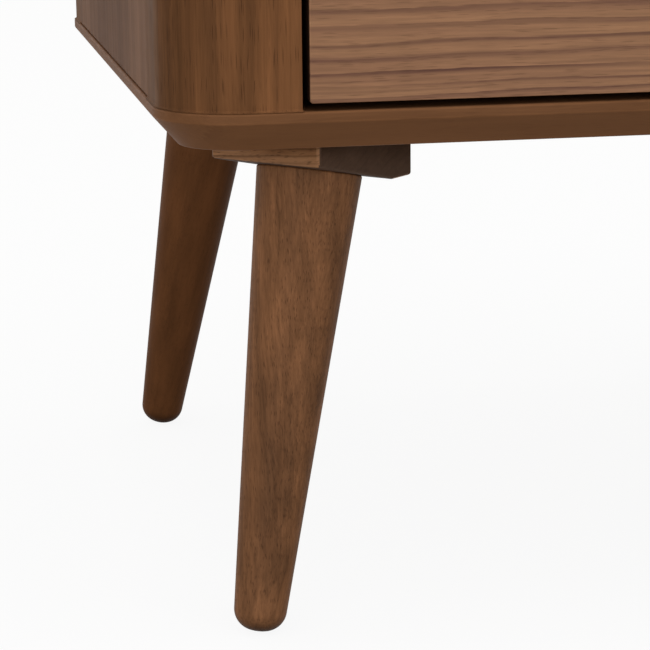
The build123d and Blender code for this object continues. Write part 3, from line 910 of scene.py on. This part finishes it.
# pale sawn walnut of the wedges, partly made lighter as painted light against the base plate's shade on their
# outer ends
PALE_AND_LIT_BLOCK_WALNUT = Timber("solid_walnut", "BB8C62", "8E6342", "412815", "281810", layer=0.0028, layers=0.75,
                      sway=0.006, uneven=1.8, shorten=3.0, bands=1.4, fibres=0.9, pores=0.5)
# dark end grain of the wedges' flanks; on their seat the same dark wood is painted shade
END_GRAIN_AND_SHADE_WALNUT = Timber("solid_walnut", "594335", "4A372A", "37281E", "221610", layer=0.0034, layers=0.2,
                    sway=0.01, uneven=2.0, shorten=20.0, cloud=1.4, bands=0.6, fibres=0.4, pores=0.3,
                    gloss=0.6, shine=0.05)
SOFTWOOD = Timber("inner_softwood", "C9A87A", "B58F5F", "9A6F42", "7A5734", layer=0.0042, layers=0.6,
                  uneven=1.8, cloud=1.4, bands=0.5, fibres=0.3, pores=0.0, gloss=0.62)
BOX_BIRCH = Timber("box_hardwood", "D2B48C", "BE9C72", "A9825A", "84633F", layer=0.011, layers=0.35,
                   sway=0.05, bands=0.6, fibres=0.25, pores=0.25)
BIRCH_PLY = Timber("box_plywood", "D8BD95", "C7A67B", "AF8B62", "8C6B47", layer=0.019, layers=0.4,
                   sway=0.08, uneven=2.6, cloud=1.8, bands=0.6, fibres=0.25, pores=0.2, gloss=0.5)
ZINC_SHEET = Metal("slide_steel", "BDC0C5", "9A9EA4", 0.34)
ZINC_SCREW = Metal("screw_steel", "A9ACB2", "83878D", 0.36)
BRASS = Metal("brass_insert", "D9B56A", "A98442", 0.3)


# ---- Pieces ----------------------------------------------------------------------------------
def settle(piece: bpy.types.Object, finish: Timber, axes: Matrix, body: str, node: str,
           **figure: object) -> None:
    """Give a new piece its finish and its body, and hide the node that it stands for.

    Args:
        piece: The new object.
        finish: Its wood.
        axes: Rows along the fibres, across them and out of the face.
        body: The body that it rides on.
        node: The frame's node that it replaces.
        figure: The tree's heart and the fibres' tilt, if they aren't the usual ones.
    """
    piece.data.materials.append(finish.material(f"{node} {finish.slot}", axes, **figure))
    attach(piece, body)
    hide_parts(node)
    LOG.info("made %s on %s", piece.name, body)


def dress(finish: Timber | Metal, grain: Grain, *nodes: str) -> None:
    """Give nodes of the frame their finish, each with a stretch of figure of its own.

    Args:
        finish: The wood or metal.
        grain: How the nodes lie in it.
        nodes: The nodes' names.
    """
    for node in nodes:
        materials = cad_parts[node].data.materials
        materials.clear()
        materials.append(finish.material(f"{node} {finish.slot}", grain.axes()))
        LOG.info("dressed %s", node)


@dataclass
class Plates:
    """Base plate and top plate: an upright rim beside the case, and a bevel that runs away from it.

    Attributes:
        radius: Plan radius of the corners.
        rim: Height of the upright rim.
        bevel: How far the bevel stands in at its foot.
        ease: Rounding between the rim and the face beside the case.
        bevel_ease: Rounding at both ends of the bevel.
        corner_steps: Points on each corner.
        ease_steps: Points on each rounding.
    """

    radius: float = 0.0325
    rim: float = 0.004
    bevel: float = 0.0097
    ease: float = 0.0008
    bevel_ease: float = 0.0012
    corner_steps: int = 26
    ease_steps: int = 6

    def surface(self, node: str, upside_down: bool) -> Surface:
        """The plate in the frame's place: its profile of rim and bevel carried round its plan.

        Args:
            node: The plate's node.
            upside_down: Whether the bevel is above the rim.

        Returns:
            The closed surface.
        """
        low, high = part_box(node)
        size, centre = high - low, (low + high) / 2
        thick = size.z
        corners = np.array(((self.bevel + self.radius / 2, 0.0), (self.bevel, 0.0), (0.0, thick - self.rim),
                            (0.0, thick), (self.radius / 2, thick)))
        radii = np.array((self.bevel_ease, self.bevel_ease, self.ease))
        profile, mask = eased_profile(corners, radii, self.ease_steps)
        if upside_down:     # turned over, and listed from its lowest point again
            profile, mask = profile[::-1] * (1, -1) + (0, thick), mask[::-1]
        made = carried_round((size.x / 2, size.y / 2), self.radius, profile, mask, self.corner_steps)
        return made.placed(Matrix.Translation((centre.x, centre.y, low.z)))

    def make(self) -> None:
        """Build and dress both plates."""
        for node, upside_down, veneer in (("base_plate", False, PLATE_VENEER),
                                          ("top_plate", True, TOP_VENEER)):
            piece = self.surface(node, upside_down).build(f"veneered_{node}")
            settle(piece, veneer, Grain.FLAT_LEVEL.axes(), "case", node)


@dataclass
class Case:
    """Corner posts, side panels and the boards between them.

    Attributes:
        corner: Plan radius of a post's outer corner.
        strip: Width of the flat strip between that corner and the side panel.
        rebate: Depth of the rebate for the side panel.
        back_rebate: Depth of the rebate for the back panel.
        back_lap: How far the back panel laps over a post.
        arris: Rounding of a post's arrises.
        end_ease: How far the ends of posts and panels stand in.
        panel_arris: Rounding of the arrises that meet between strip and panel.
        panel_heart: Where the tree's heart lies in the side panels.
        post_tilt: Turn of the posts' fibres, in degrees.
        rubbed: Points of the outer corner's rounding that take the edge mask as a painted highlight: the
            first, and the one after them.
        veneer_turn: How far the strip's veneer reaches round the outer corner, as an angle; on the rounding it
            is a painted highlight.
        corner_steps: Points on each corner of a post.
        arris_steps: Points on each corner of a panel.
        posts: Side, end, surface and object of each post, kept so that its strip can be veneered last.
    """

    corner: float = 0.0315
    strip: float = 0.023
    rebate: float = 0.016
    back_rebate: float = 0.006
    back_lap: float = 0.012
    arris: float = 0.0005
    end_ease: float = 0.001
    panel_arris: float = 0.0003
    panel_heart: Pair = (0.455, 0.12)
    post_tilt: float = 0.4
    rubbed: tuple[int, int] = (2, 5)
    veneer_turn: float = math.radians(13)
    corner_steps: int = 26
    arris_steps: int = 4
    posts: list[tuple[Side, End, Surface, bpy.types.Object]] = field(default_factory=list)

    def post(self, side: Side, end: End) -> Surface:
        """A post's plan: rounded outer corner, rebate for the side panel, and one for the back panel.

        The plan is drawn from the outer corner inwards, turned into its quarter by the signs of side and
        end, and stood up between the plates. The line where the rounding begins takes the edge mask, which
        paints a highlight there.

        Args:
            side: Left or right.
            end: Front or back.

        Returns:
            The closed surface.
        """
        low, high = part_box(f"{end.word}_{side.word}_post")
        wide, deep = high.x - low.x, high.y - low.y
        flat = self.corner + self.strip
        inner = [(wide, deep), (self.rebate, deep), (self.rebate, flat), (0.0, flat)]
        radii = [self.arris, self.arris, self.arris, self.panel_arris]
        outer = [(0.0, 0.0)]
        radii.append(self.corner)
        if end is End.BACK:
            outer += [(wide - self.back_lap, 0.0), (wide - self.back_lap, self.back_rebate),
                      (wide, self.back_rebate)]
            radii += [self.arris] * 3
        else:
            outer.append((wide, 0.0))
            radii.append(self.arris)
        corners = np.array(inner + outer)
        points, mask = eased_corners(corners, np.array(radii), self.corner_steps)
        edges = np.where(np.array(radii)[:, None] < self.corner, mask, 0)
        # painted highlight: the edge mask makes the start of the outer rounding lighter
        edges[len(inner), slice(*self.rubbed)] = 1
        reach = outer_corner(f"{end.word}_{side.word}_post", side, end)
        outline = reach - points.reshape(-1, 2) * (side.value, end.value)
        edge = edges.ravel()
        if side.value * end.value > 0:      # these two quarters turn the plan clockwise
            outline, edge = outline[::-1], edge[::-1]
        return extruded(outline, edge, low.z, high.z, self.end_ease)

    def panel(self, side: Side) -> Surface:
        """A side panel's plan, a rectangle with eased arrises, stood up between the plates.

        Args:
            side: Left or right.

        Returns:
            The closed surface.
        """
        low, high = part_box(f"{side.word}_side_panel")
        corners = np.array(((low.x, low.y), (high.x, low.y), (high.x, high.y), (low.x, high.y)))
        points, mask = eased_corners(corners, np.full(4, self.panel_arris), self.arris_steps)
        return extruded(points.reshape(-1, 2), mask.ravel(), low.z, high.z, self.end_ease)

    def make(self) -> None:
        """Build the posts and panels, and dress the boards."""
        for side in Side:
            node = f"{side.word}_side_panel"
            piece = self.panel(side).build(f"veneered_{node}")
            settle(piece, PANEL_VENEER, Grain.SIDE_UPRIGHT.axes(), "case", node, heart=self.panel_heart)
            for end in End:
                node = f"{end.word}_{side.word}_post"
                surface = self.post(side, end)
                piece = surface.build(f"rounded_{node}")
                settle(piece, POST_VENEER, Grain.FRONT_UPRIGHT.axes(), "case", node, tilt=self.post_tilt)
                self.posts.append((side, end, surface, piece))
            dress(SOFTWOOD, Grain.SIDE_LEVEL, *(f"{level.word}_{side.word}_batten" for level in Level))
        dress(PANEL_VENEER, Grain.FRONT_UPRIGHT, "back_panel")
        dress(SOFTWOOD, Grain.FRONT_LEVEL, "mid_rail")
        dress(SOFTWOOD, Grain.FRONT_UPRIGHT, "post_dowels")

    def veneer_strips(self) -> None:
        """Cover the strip of each post beside the side panel with a veneer of its own.

        That veneer reaches round the corner until the rounding has turned by veneer_turn, where it stands
        in from the case's side by corner * (1 - cos(veneer_turn)). On the flat strip it is the post's own
        veneer, and on the rounding its paler colour is a painted highlight where the rounding begins.
        """
        reach = self.corner * (1 - math.cos(self.veneer_turn))
        for side, end, surface, piece in self.posts:
            node = f"{end.word}_{side.word}_post"
            piece.data.materials.append(STRIP_AND_HIGHLIGHT_VENEER.material(f"{node} strip", Grain.SIDE_UPRIGHT.axes()))
            outer = outer_corner(node, side, end)[0]
            inset = np.abs(surface.points[surface.quads][..., 0] - outer).mean(axis=1)
            piece.data.polygons.foreach_set("material_index", np.append(inset < reach, (0, 0)))


@dataclass
class Legs:
    """Four splayed turned legs, each under a wedge that is cut to its splay.

    Attributes:
        splay: Angle between a leg and the upright, in radians.
        foot_inset: Where a leg's axis meets the floor, in from both sides of the base plate.
        top_radius: Radius of a leg at its top.
        foot_radius: Radius of its taper at the floor, before the foot is rounded.
        foot_round: Radius of the foot's rounding.
        foot_flat: How much is sanded off the foot at the floor.
        top_arris: Rounding of the arris at the leg's top.
        block_margin: How far a wedge stands out beside the leg.
        block_nose: How far it runs on outside the leg.
        block_heel: How far its seat runs on inside the leg.
        block_level: Length of its level underside, which follows the seat.
        block_end: Height of its outer end.
        block_ease: Rounding of its bare arrises.
        ease_segments: Faces across that rounding.
        segments: Points on each ring of a leg.
        arc_steps: Points on each rounding of a leg's profile.
        leg_heart: Where the tree's heart lies in the legs.
        leg_tilt: Turn of the legs' fibres, in degrees.
        block_heart: Where the tree's heart lies in the wedges.
        block_tilt: Turn of the fibres on the wedges' sawn faces, in degrees.
    """

    splay: float = math.radians(12.4)
    foot_inset: float = 0.038
    top_radius: float = 0.0213
    foot_radius: float = 0.0102
    foot_round: float = 0.0088
    foot_flat: float = 0.0003
    top_arris: float = 0.001
    block_margin: float = 0.0047
    block_nose: float = 0.0094
    block_heel: float = 0.0007
    block_level: float = 0.0135
    block_end: float = 0.0107
    block_ease: float = 0.0014
    ease_segments: int = 5
    segments: int = 96
    arc_steps: int = 16
    leg_heart: Pair = (0.03, 0.05)
    leg_tilt: float = 8.0
    block_heart: Pair = (0.24, 0.02)
    block_tilt: float = 4.0

    @property
    def backset(self) -> float:
        """The leg's axis behind the block's outer end, along the diagonal."""
        return self.block_nose + self.top_radius

    @property
    def length(self) -> float:
        """The leg's axis from the floor to its seat on the wedge."""
        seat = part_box("base_plate")[0].z - self.block_end - self.backset * math.tan(self.splay)
        return seat / math.cos(self.splay)

    def place(self, side: Side, end: End, inset: float, height: float, turn: Matrix) -> Matrix:
        """A turn about a point that lies equally far in from both sides of the base plate.

        Args:
            side: Left or right.
            end: Front or back.
            inset: How far in the point lies.
            height: Its height above the floor.
            turn: Rows that say where X, Y and Z point to.

        Returns:
            The turn with its shift.
        """
        x, y = outer_corner("base_plate", side, end) - inset * np.array((side.value, end.value))
        return Matrix.Translation((x, y, height)) @ turn.transposed().to_4x4()

    def leg_place(self, side: Side, end: End) -> Matrix:
        """A leg's place: Z runs up its axis from the floor, and X is level and square to the diagonal.

        The axis is sin(splay) * inwards + cos(splay) * up.

        Args:
            side: Left or right.
            end: Front or back.

        Returns:
            The turn with its shift.
        """
        inwards = Vector((-side.value, -end.value, 0)).normalized()
        axis = inwards * math.sin(self.splay) + Vector((0, 0, math.cos(self.splay)))
        level = inwards.cross(axis).normalized()
        return self.place(side, end, self.foot_inset, 0.0, Matrix((level, axis.cross(level), axis)))

    def leg(self, side: Side, end: End) -> Surface:
        """A leg: a straight taper with a rounded foot, turned about its axis and sanded flat at the floor.

        The lowest point of the foot's rounding lies foot_flat below the floor, and points below the floor
        are lifted to it. The foot darkens towards the floor, by a soft step t * t * (3 - 2 * t) of the share t
        of foot_round that a point lies below it.

        Args:
            side: Left or right.
            end: Front or back.

        Returns:
            The closed surface.
        """
        slope = (self.top_radius - self.foot_radius) / self.length
        stretch = math.hypot(1, slope)
        flat = self.foot_radius - self.foot_round * (stretch - slope)
        sunk = self.foot_round * (1 - math.cos(self.splay)) + flat * math.sin(self.splay) - self.foot_flat
        start = sunk / math.cos(self.splay)
        corners = np.array(((0.0, start), (self.foot_radius + slope * start, start),
                            (self.top_radius, self.length), (0.0, self.length)))
        profile, mask = eased_profile(corners, np.array((self.foot_round, self.top_arris)), self.arc_steps)
        mask[: len(mask) // 2] = 0      # the arris at the top takes the edge mask, for wear and a painted highlight, and the foot doesn't
        made = turned(profile, mask, self.segments).placed(self.leg_place(side, end))
        made.points[:, 2] = np.maximum(made.points[:, 2], 0.0)
        # the foot darkens towards the floor, over the height of its rounding
        share = np.clip(1 - made.points[:, 2] / self.foot_round, 0, 1)
        made.end = share**2 * (3 - 2 * share)
        return made

    def block_place(self, side: Side, end: End) -> Matrix:
        """A wedge's place: X runs inwards along the diagonal from its outer end, and Z up from its top.

        Args:
            side: Left or right.
            end: Front or back.

        Returns:
            The turn with its shift.
        """
        inwards = Vector((-side.value, -end.value, 0)).normalized()
        up = Vector((0, 0, 1))
        lean = (self.length * math.sin(self.splay) - self.backset) / math.sqrt(2)
        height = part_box("base_plate")[0].z
        return self.place(side, end, self.foot_inset + lean, height, Matrix((inwards, up.cross(inwards), up)))

    def block(self, side: Side, end: End) -> bpy.types.Object:
        """A wedge: its side view drawn to both flanks, with its bare arrises rounded by a live bevel.

        The flanks cut across the fibres and take the first material, dark end grain. The hidden seat takes it
        too, as painted shade that darkens the flanks' lower arrises. The other faces take the second one, pale
        wood made lighter still as painted light against the base plate's shade.

        Args:
            side: Left or right.
            end: Front or back.

        Returns:
            The new object.
        """
        slope = self.backset + self.top_radius + self.block_heel
        long = slope + self.block_level
        deep = self.block_end + slope * math.tan(self.splay)
        half = self.top_radius + self.block_margin
        view = np.array(((0.0, 0.0), (0.0, -self.block_end), (slope, -deep), (long, -deep), (long, 0.0)))
        flanks = [np.insert(view, 1, across, axis=1) for across in (-half, half)]
        count = len(view)
        around = np.arange(count)
        ahead = np.roll(around, -1)
        walls = np.stack((ahead, around, around + count, ahead + count), axis=1)
        caps = [around.tolist(), (around + count)[::-1].tolist()]
        surface = Surface(np.vstack(flanks), walls, np.zeros(2 * count), caps=caps)
        piece = surface.placed(self.block_place(side, end)).build(f"wedge_{end.word}_{side.word}_leg_block")
        mesh = piece.data
        mesh.polygons.foreach_set("use_smooth", np.ones(len(mesh.polygons), bool))
        # sharp are the arrises round its top, and the one between the seat and the level underside
        pairs = np.zeros(2 * len(mesh.edges), int)
        mesh.edges.foreach_get("vertices", pairs)
        top = np.isin(pairs % count, (0, count - 1)).reshape(-1, 2).all(axis=1)
        ridge = (pairs % count == 2).reshape(-1, 2).all(axis=1)
        weight = mesh.attributes.new("bevel_weight_edge", "FLOAT", "EDGE")
        weight.data.foreach_set("value", (~top & ~ridge).astype(np.float32))
        # material 0, dark end grain, on the flanks, and on the seat (face 1) as painted shade; material 1,
        # pale and partly painted light, on the rest
        sawn = np.ones(len(mesh.polygons), int)
        sawn[[1, *range(count, len(sawn))]] = 0
        mesh.polygons.foreach_set("material_index", sawn)
        bevel = piece.modifiers.new("arrises", "BEVEL")
        bevel.limit_method, bevel.harden_normals = "WEIGHT", True
        bevel.width, bevel.segments = self.block_ease, self.ease_segments
        return piece

    def make(self) -> None:
        """Build and dress the legs and wedges, and dress what holds them."""
        for side in Side:
            for end in End:
                name = f"{end.word}_{side.word}_leg"
                level, square, axis = self.leg_place(side, end).to_3x3().transposed()
                # the back legs take the darker copy as painted shade for the case's shadow over them
                stock = TURNED_WALNUT if end is End.FRONT else SHADED_BACK_LEG_WALNUT
                settle(self.leg(side, end).build(f"turned_{name}"), stock, Matrix((axis, level, square)),
                       "case", name, heart=self.leg_heart, tilt=self.leg_tilt)
                inwards, across, up = self.block_place(side, end).to_3x3().transposed()
                axes = Matrix((across, up, inwards))
                piece = self.block(side, end)
                settle(piece, END_GRAIN_AND_SHADE_WALNUT, axes, "case", f"{name}_block", heart=self.block_heart)
                piece.data.materials.append(PALE_AND_LIT_BLOCK_WALNUT.material(
                    f"{name}_block sawn", axes, heart=self.block_heart, tilt=self.block_tilt))
        dress(ZINC_SCREW, Grain.FRONT_UPRIGHT, "leg_bolts")
        dress(BRASS, Grain.FRONT_UPRIGHT, "leg_inserts")
        dress(ZINC_SCREW, Grain.FRONT_UPRIGHT, "leg_block_screws")


@dataclass
class Drawer:
    """One drawer: its front and knob, and the box behind them.

    Attributes:
        level: Which of the two it is.
        front_ease: Rounding of the front's arrises, and of the knob's foot.
        knob_foot_radius: Radius of the knob's foot.
        knob_foot_height: Height of that foot.
        knob_neck_radius: Least radius of the neck.
        knob_radius: Radius of the rim.
        knob_flare: Height of the flare between neck and rim.
        knob_rim: Height of the rim.
        knob_crown: Rise of the face above the rim.
        knob_ease: Rounding at both ends of the rim.
        segments: Points on each ring of the knob.
        arc_steps: Points on each rounding.
        front_tilt: Turn of the front's fibres, in degrees.
        knob_heart: Where the tree's heart lies in the knob.
    """

    level: Level
    front_ease: float = 0.0006
    knob_foot_radius: float = 0.008
    knob_foot_height: float = 0.0025
    knob_neck_radius: float = 0.0058
    knob_radius: float = 0.014
    knob_flare: float = 0.005
    knob_rim: float = 0.0065
    knob_crown: float = 0.002
    knob_ease: float = 0.0024
    segments: int = 96
    arc_steps: int = 10
    front_tilt: float = 1.1
    knob_heart: Pair = (0.03, 0.05)

    def node(self, name: str) -> str:
        """The frame's name for one of this drawer's nodes."""
        return f"{self.level.word}_{name}"

    @property
    def body(self) -> str:
        """The body that the drawer's nodes ride on."""
        return self.node("drawer")

    def front(self) -> Surface:
        """The front: a profile with two eased arrises carried round the front's outline.

        The profile's height runs from the back of the front to its face, which looks along -Y.

        Returns:
            The closed surface.
        """
        low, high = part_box(self.node("drawer_front"))
        size, centre = high - low, (low + high) / 2
        ease = self.front_ease
        corners = np.array(((2 * ease, 0.0), (0.0, 0.0), (0.0, size.y), (2 * ease, size.y)))
        profile, mask = eased_profile(corners, np.full(2, ease - GUARD), self.arc_steps)
        made = carried_round((size.x / 2, size.z / 2), 2 * ease, profile, mask, self.arc_steps)
        return made.placed(Matrix.Translation((centre.x, high.y, centre.z)) @ FORWARDS)

    def knob(self) -> Surface:
        """The knob: a low foot, a hollow neck as one arc, a flare, an upright rim and a crowned face.

        The face's height at a radius r is length - (R - sqrt(R * R - r * r)), where R is the radius of
        the sphere that the crown belongs to.

        Returns:
            The closed surface, turned to look along -Y.
        """
        low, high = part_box(self.node("knob"))
        length = high.y - low.y
        brow = length - self.knob_crown
        throat = brow - self.knob_rim - self.knob_flare
        foot, first = (self.knob_foot_radius, self.knob_foot_height), (self.knob_foot_radius, throat)
        base, base_mask = eased_profile(np.array(((0.0, 0.0), (foot[0], 0.0), foot)),
                                        np.array((self.front_ease,)), self.arc_steps)
        neck = bowed(foot, first, self.knob_foot_radius - self.knob_neck_radius, 2 * self.arc_steps)
        sphere = (self.knob_radius**2 + self.knob_crown**2) / (2 * self.knob_crown)
        reach = np.linspace(self.knob_radius - self.knob_ease, 0, self.arc_steps)
        crown = np.stack((reach, length - sphere + np.sqrt(sphere**2 - reach**2)), axis=1)
        flare = (self.knob_radius, throat + self.knob_flare)
        head = np.array((first, flare, (self.knob_radius, brow), crown[0]))
        rim, rim_mask = eased_profile(head, np.full(2, self.knob_ease), self.arc_steps)
        profile = np.vstack((base[:-1], neck, rim[1:-1], crown))
        mask = np.concatenate((base_mask[:-1], np.zeros(len(neck)), rim_mask[1:-1], np.zeros(len(crown))))
        middle = ((low.x + high.x) / 2, high.y, (low.z + high.z) / 2)
        return turned(profile, mask, self.segments).placed(Matrix.Translation(middle) @ FORWARDS)

    def make(self) -> None:
        """Build the front and the knob, and dress the box and its fixings.

        The front's edges, which lie behind the rounding of its face, take a dark material: painted shade for
        the gap round the front, where little light reaches.
        """
        name = self.node("drawer_front")
        surface, axes = self.front(), Grain.FRONT_LEVEL.axes()
        piece = surface.build(f"veneered_{name}")
        settle(piece, FRONT_VENEER, axes, self.body, name, tilt=self.front_tilt)
        # the edges behind the face take the dark material as painted shade in the gap
        piece.data.materials.append(GAP_SHADE_VENEER.material(f"{name} edge stain", axes))
        behind = surface.points[surface.quads][..., 1].mean(axis=1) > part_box(name)[0].y + 2 * self.front_ease
        piece.data.polygons.foreach_set("material_index", np.append(behind, (1, 0)))
        name = self.node("knob")
        settle(self.knob().build(f"turned_{name}"), TURNED_WALNUT, Grain.SIDE_LEVEL.axes(), self.body, name,
               heart=self.knob_heart)
        for finish, grain, names in (
                (BOX_BIRCH, Grain.FRONT_LEVEL, ("inner_front", "box_back")),
                (BOX_BIRCH, Grain.SIDE_LEVEL, ("box_left_side", "box_right_side")),
                (BIRCH_PLY, Grain.FLAT_LEVEL, ("box_bottom",)),
                (ZINC_SCREW, Grain.SIDE_LEVEL, ("knob_screw", "front_screws", "box_member_screws"))):
            dress(finish, grain, *map(self.node, names))
        members = [f"{side.word}_slide_{part}_member" for side in Side for part in ("case", "middle", "box")]
        dress(ZINC_SHEET, Grain.SIDE_LEVEL, *map(self.node, members))


# ---- Studio ----------------------------------------------------------------------------------
@dataclass(frozen=True)
class Lamp:
    """A square soft light that looks at the middle of the case.

    Attributes:
        name: Its name.
        place: Where it stands.
        size: Length of its sides.
        power: Its power in watts.
    """

    name: str
    place: Triple
    size: float
    power: float

    def hang(self) -> None:
        """Put the lamp into the scene, unseen by the camera."""
        data = bpy.data.lights.new(self.name, "AREA")
        data.shape, data.size, data.energy = "SQUARE", self.size, self.power
        lamp = linked(self.name, data)
        lamp.visible_camera = False
        low, high = (Vector(corner) for corner in CAD_BOX)
        aim = ((low + high) / 2 - Vector(self.place)).to_track_quat("-Z", "Y")
        lamp.matrix_world = Matrix.Translation(self.place) @ aim.to_matrix().to_4x4()


@dataclass
class Studio:
    """Camera, floor and soft light round the nightstand.

    Attributes:
        eye: Where the camera stands.
        turn: How far it is turned to the right, in radians.
        dip: How far it looks down, in radians.
        roll: How far it leans, in radians.
        lens: Its focal length in millimetres.
        sensor: The width of its sensor in millimetres.
        floor_half: Half of the floor's side.
        floor_drop: How far the floor lies below the feet.
        floor_colour: The colour that the floor throws back on to the nightstand.
        floor_shown: The colour that it shows.
        floor_glow: The share of plain white in what it shows.
        ambient: Strength of the surroundings as a light.
        lamps: The lamps.
    """

    eye: Triple = (-0.3517, -1.0662, 0.3362)
    turn: float = math.radians(10.48)
    dip: float = math.radians(12.84)
    roll: float = math.radians(0.60)
    lens: float = 133.5
    sensor: float = 36.0
    floor_half: float = 12.0
    floor_drop: float = 0.0002
    floor_colour: str = "A9A9A7"
    floor_shown: str = "F4F4F3"
    floor_glow: float = 0.91
    ambient: float = 0.75
    lamps: tuple[Lamp, ...] = (
        Lamp("key", (-1.1, -1.6, 0.3), 0.9, 8.0), Lamp("fill", (0.8, -1.9, 0.25), 0.9, 8.0),
        Lamp("top", (0.0, -0.3, 2.6), 1.6, 12.0))

    def camera(self) -> None:
        """Stand the camera at the front left, turned right, dipped and slightly rolled."""
        ahead = Vector((math.sin(self.turn) * math.cos(self.dip), math.cos(self.turn) * math.cos(self.dip),
                        -math.sin(self.dip)))
        level = Vector((math.cos(self.turn), -math.sin(self.turn), 0.0))
        down = ahead.cross(level)
        right = level * math.cos(self.roll) + down * math.sin(self.roll)
        below = down * math.cos(self.roll) - level * math.sin(self.roll)
        turn = Matrix((right, -below, -ahead)).transposed().to_4x4()
        data = bpy.data.cameras.new("camera")
        data.lens, data.sensor_width = self.lens, self.sensor
        camera = linked("camera", data)
        camera.matrix_world = Matrix.Translation(self.eye) @ turn
        bpy.context.scene.camera = camera

    def seen_plainly(self, tree: Tree) -> Socket:
        """Tell the rays that show the surroundings from those that carry their light.

        Args:
            tree: The material's or the world's tree.

        Returns:
            1 on rays seen straight, in a mirror or through glass, and 0 on all others.
        """
        path = tree.add("ShaderNodeLightPath", {}).outputs
        shown = tree.math("MAXIMUM", path["Is Camera Ray"], path["Is Glossy Ray"])
        return tree.math("MAXIMUM", shown, path["Is Transmission Ray"])

    def floor(self) -> None:
        """A pale level floor, which looks white, takes a soft shadow and throws little light back."""
        half, low = self.floor_half, -self.floor_drop
        plan = np.array(((-half, -half, low), (half, -half, low), (half, half, low), (-half, half, low)))
        mesh = bpy.data.meshes.new("floor")
        mesh.from_pydata(plan.tolist(), [], [[0, 1, 2, 3]])
        floor = linked("floor", mesh)
        material = bpy.data.materials.new("floor")
        material.use_nodes = True
        tree = Tree(material.node_tree)
        matt = tree.nodes["Principled BSDF"]
        shown = self.seen_plainly(tree)
        tree.feed(matt.inputs["Base Color"], tree.mix(shown, srgb(self.floor_colour), srgb(self.floor_shown)))
        matt.inputs["Roughness"].default_value = 1.0
        matt.inputs["Specular IOR Level"].default_value = 0.0
        glow = tree.add("ShaderNodeEmission", {"Color": WHITE, "Strength": 1.0}).outputs[0]
        share = tree.times(shown, self.floor_glow)
        mixed = tree.add("ShaderNodeMixShader", {0: share, 1: matt.outputs[0], 2: glow}).outputs[0]
        tree.feed(tree.nodes["Material Output"].inputs["Surface"], mixed)
        mesh.materials.append(material)

    def world(self) -> None:
        """Even light from all round, seen as white."""
        world = bpy.data.worlds.new("studio")
        world.use_nodes = True
        bpy.context.scene.world = world
        tree = Tree(world.node_tree)
        back = tree.nodes["Background"]
        back.inputs["Color"].default_value = WHITE
        tree.feed(back.inputs["Strength"], tree.lifted(self.seen_plainly(tree), self.ambient))

    def make(self) -> None:
        """Set up the whole studio."""
        bpy.context.scene.view_settings.view_transform = "Standard"
        self.camera()
        self.floor()
        self.world()
        for lamp in self.lamps:
            lamp.hang()


def main() -> None:
    """Build and dress the nightstand piece by piece."""
    logging.basicConfig(level=logging.INFO, format="%(name)s: %(message)s")
    Studio().make()
    Plates().make()
    case = Case()
    case.make()
    Legs().make()
    for level in Level:
        Drawer(level).make()
    dress(ZINC_SCREW, Grain.FRONT_UPRIGHT, "back_panel_screws", "case_member_screws")
    case.veneer_strips()


if __name__ == "__main__":
    main()
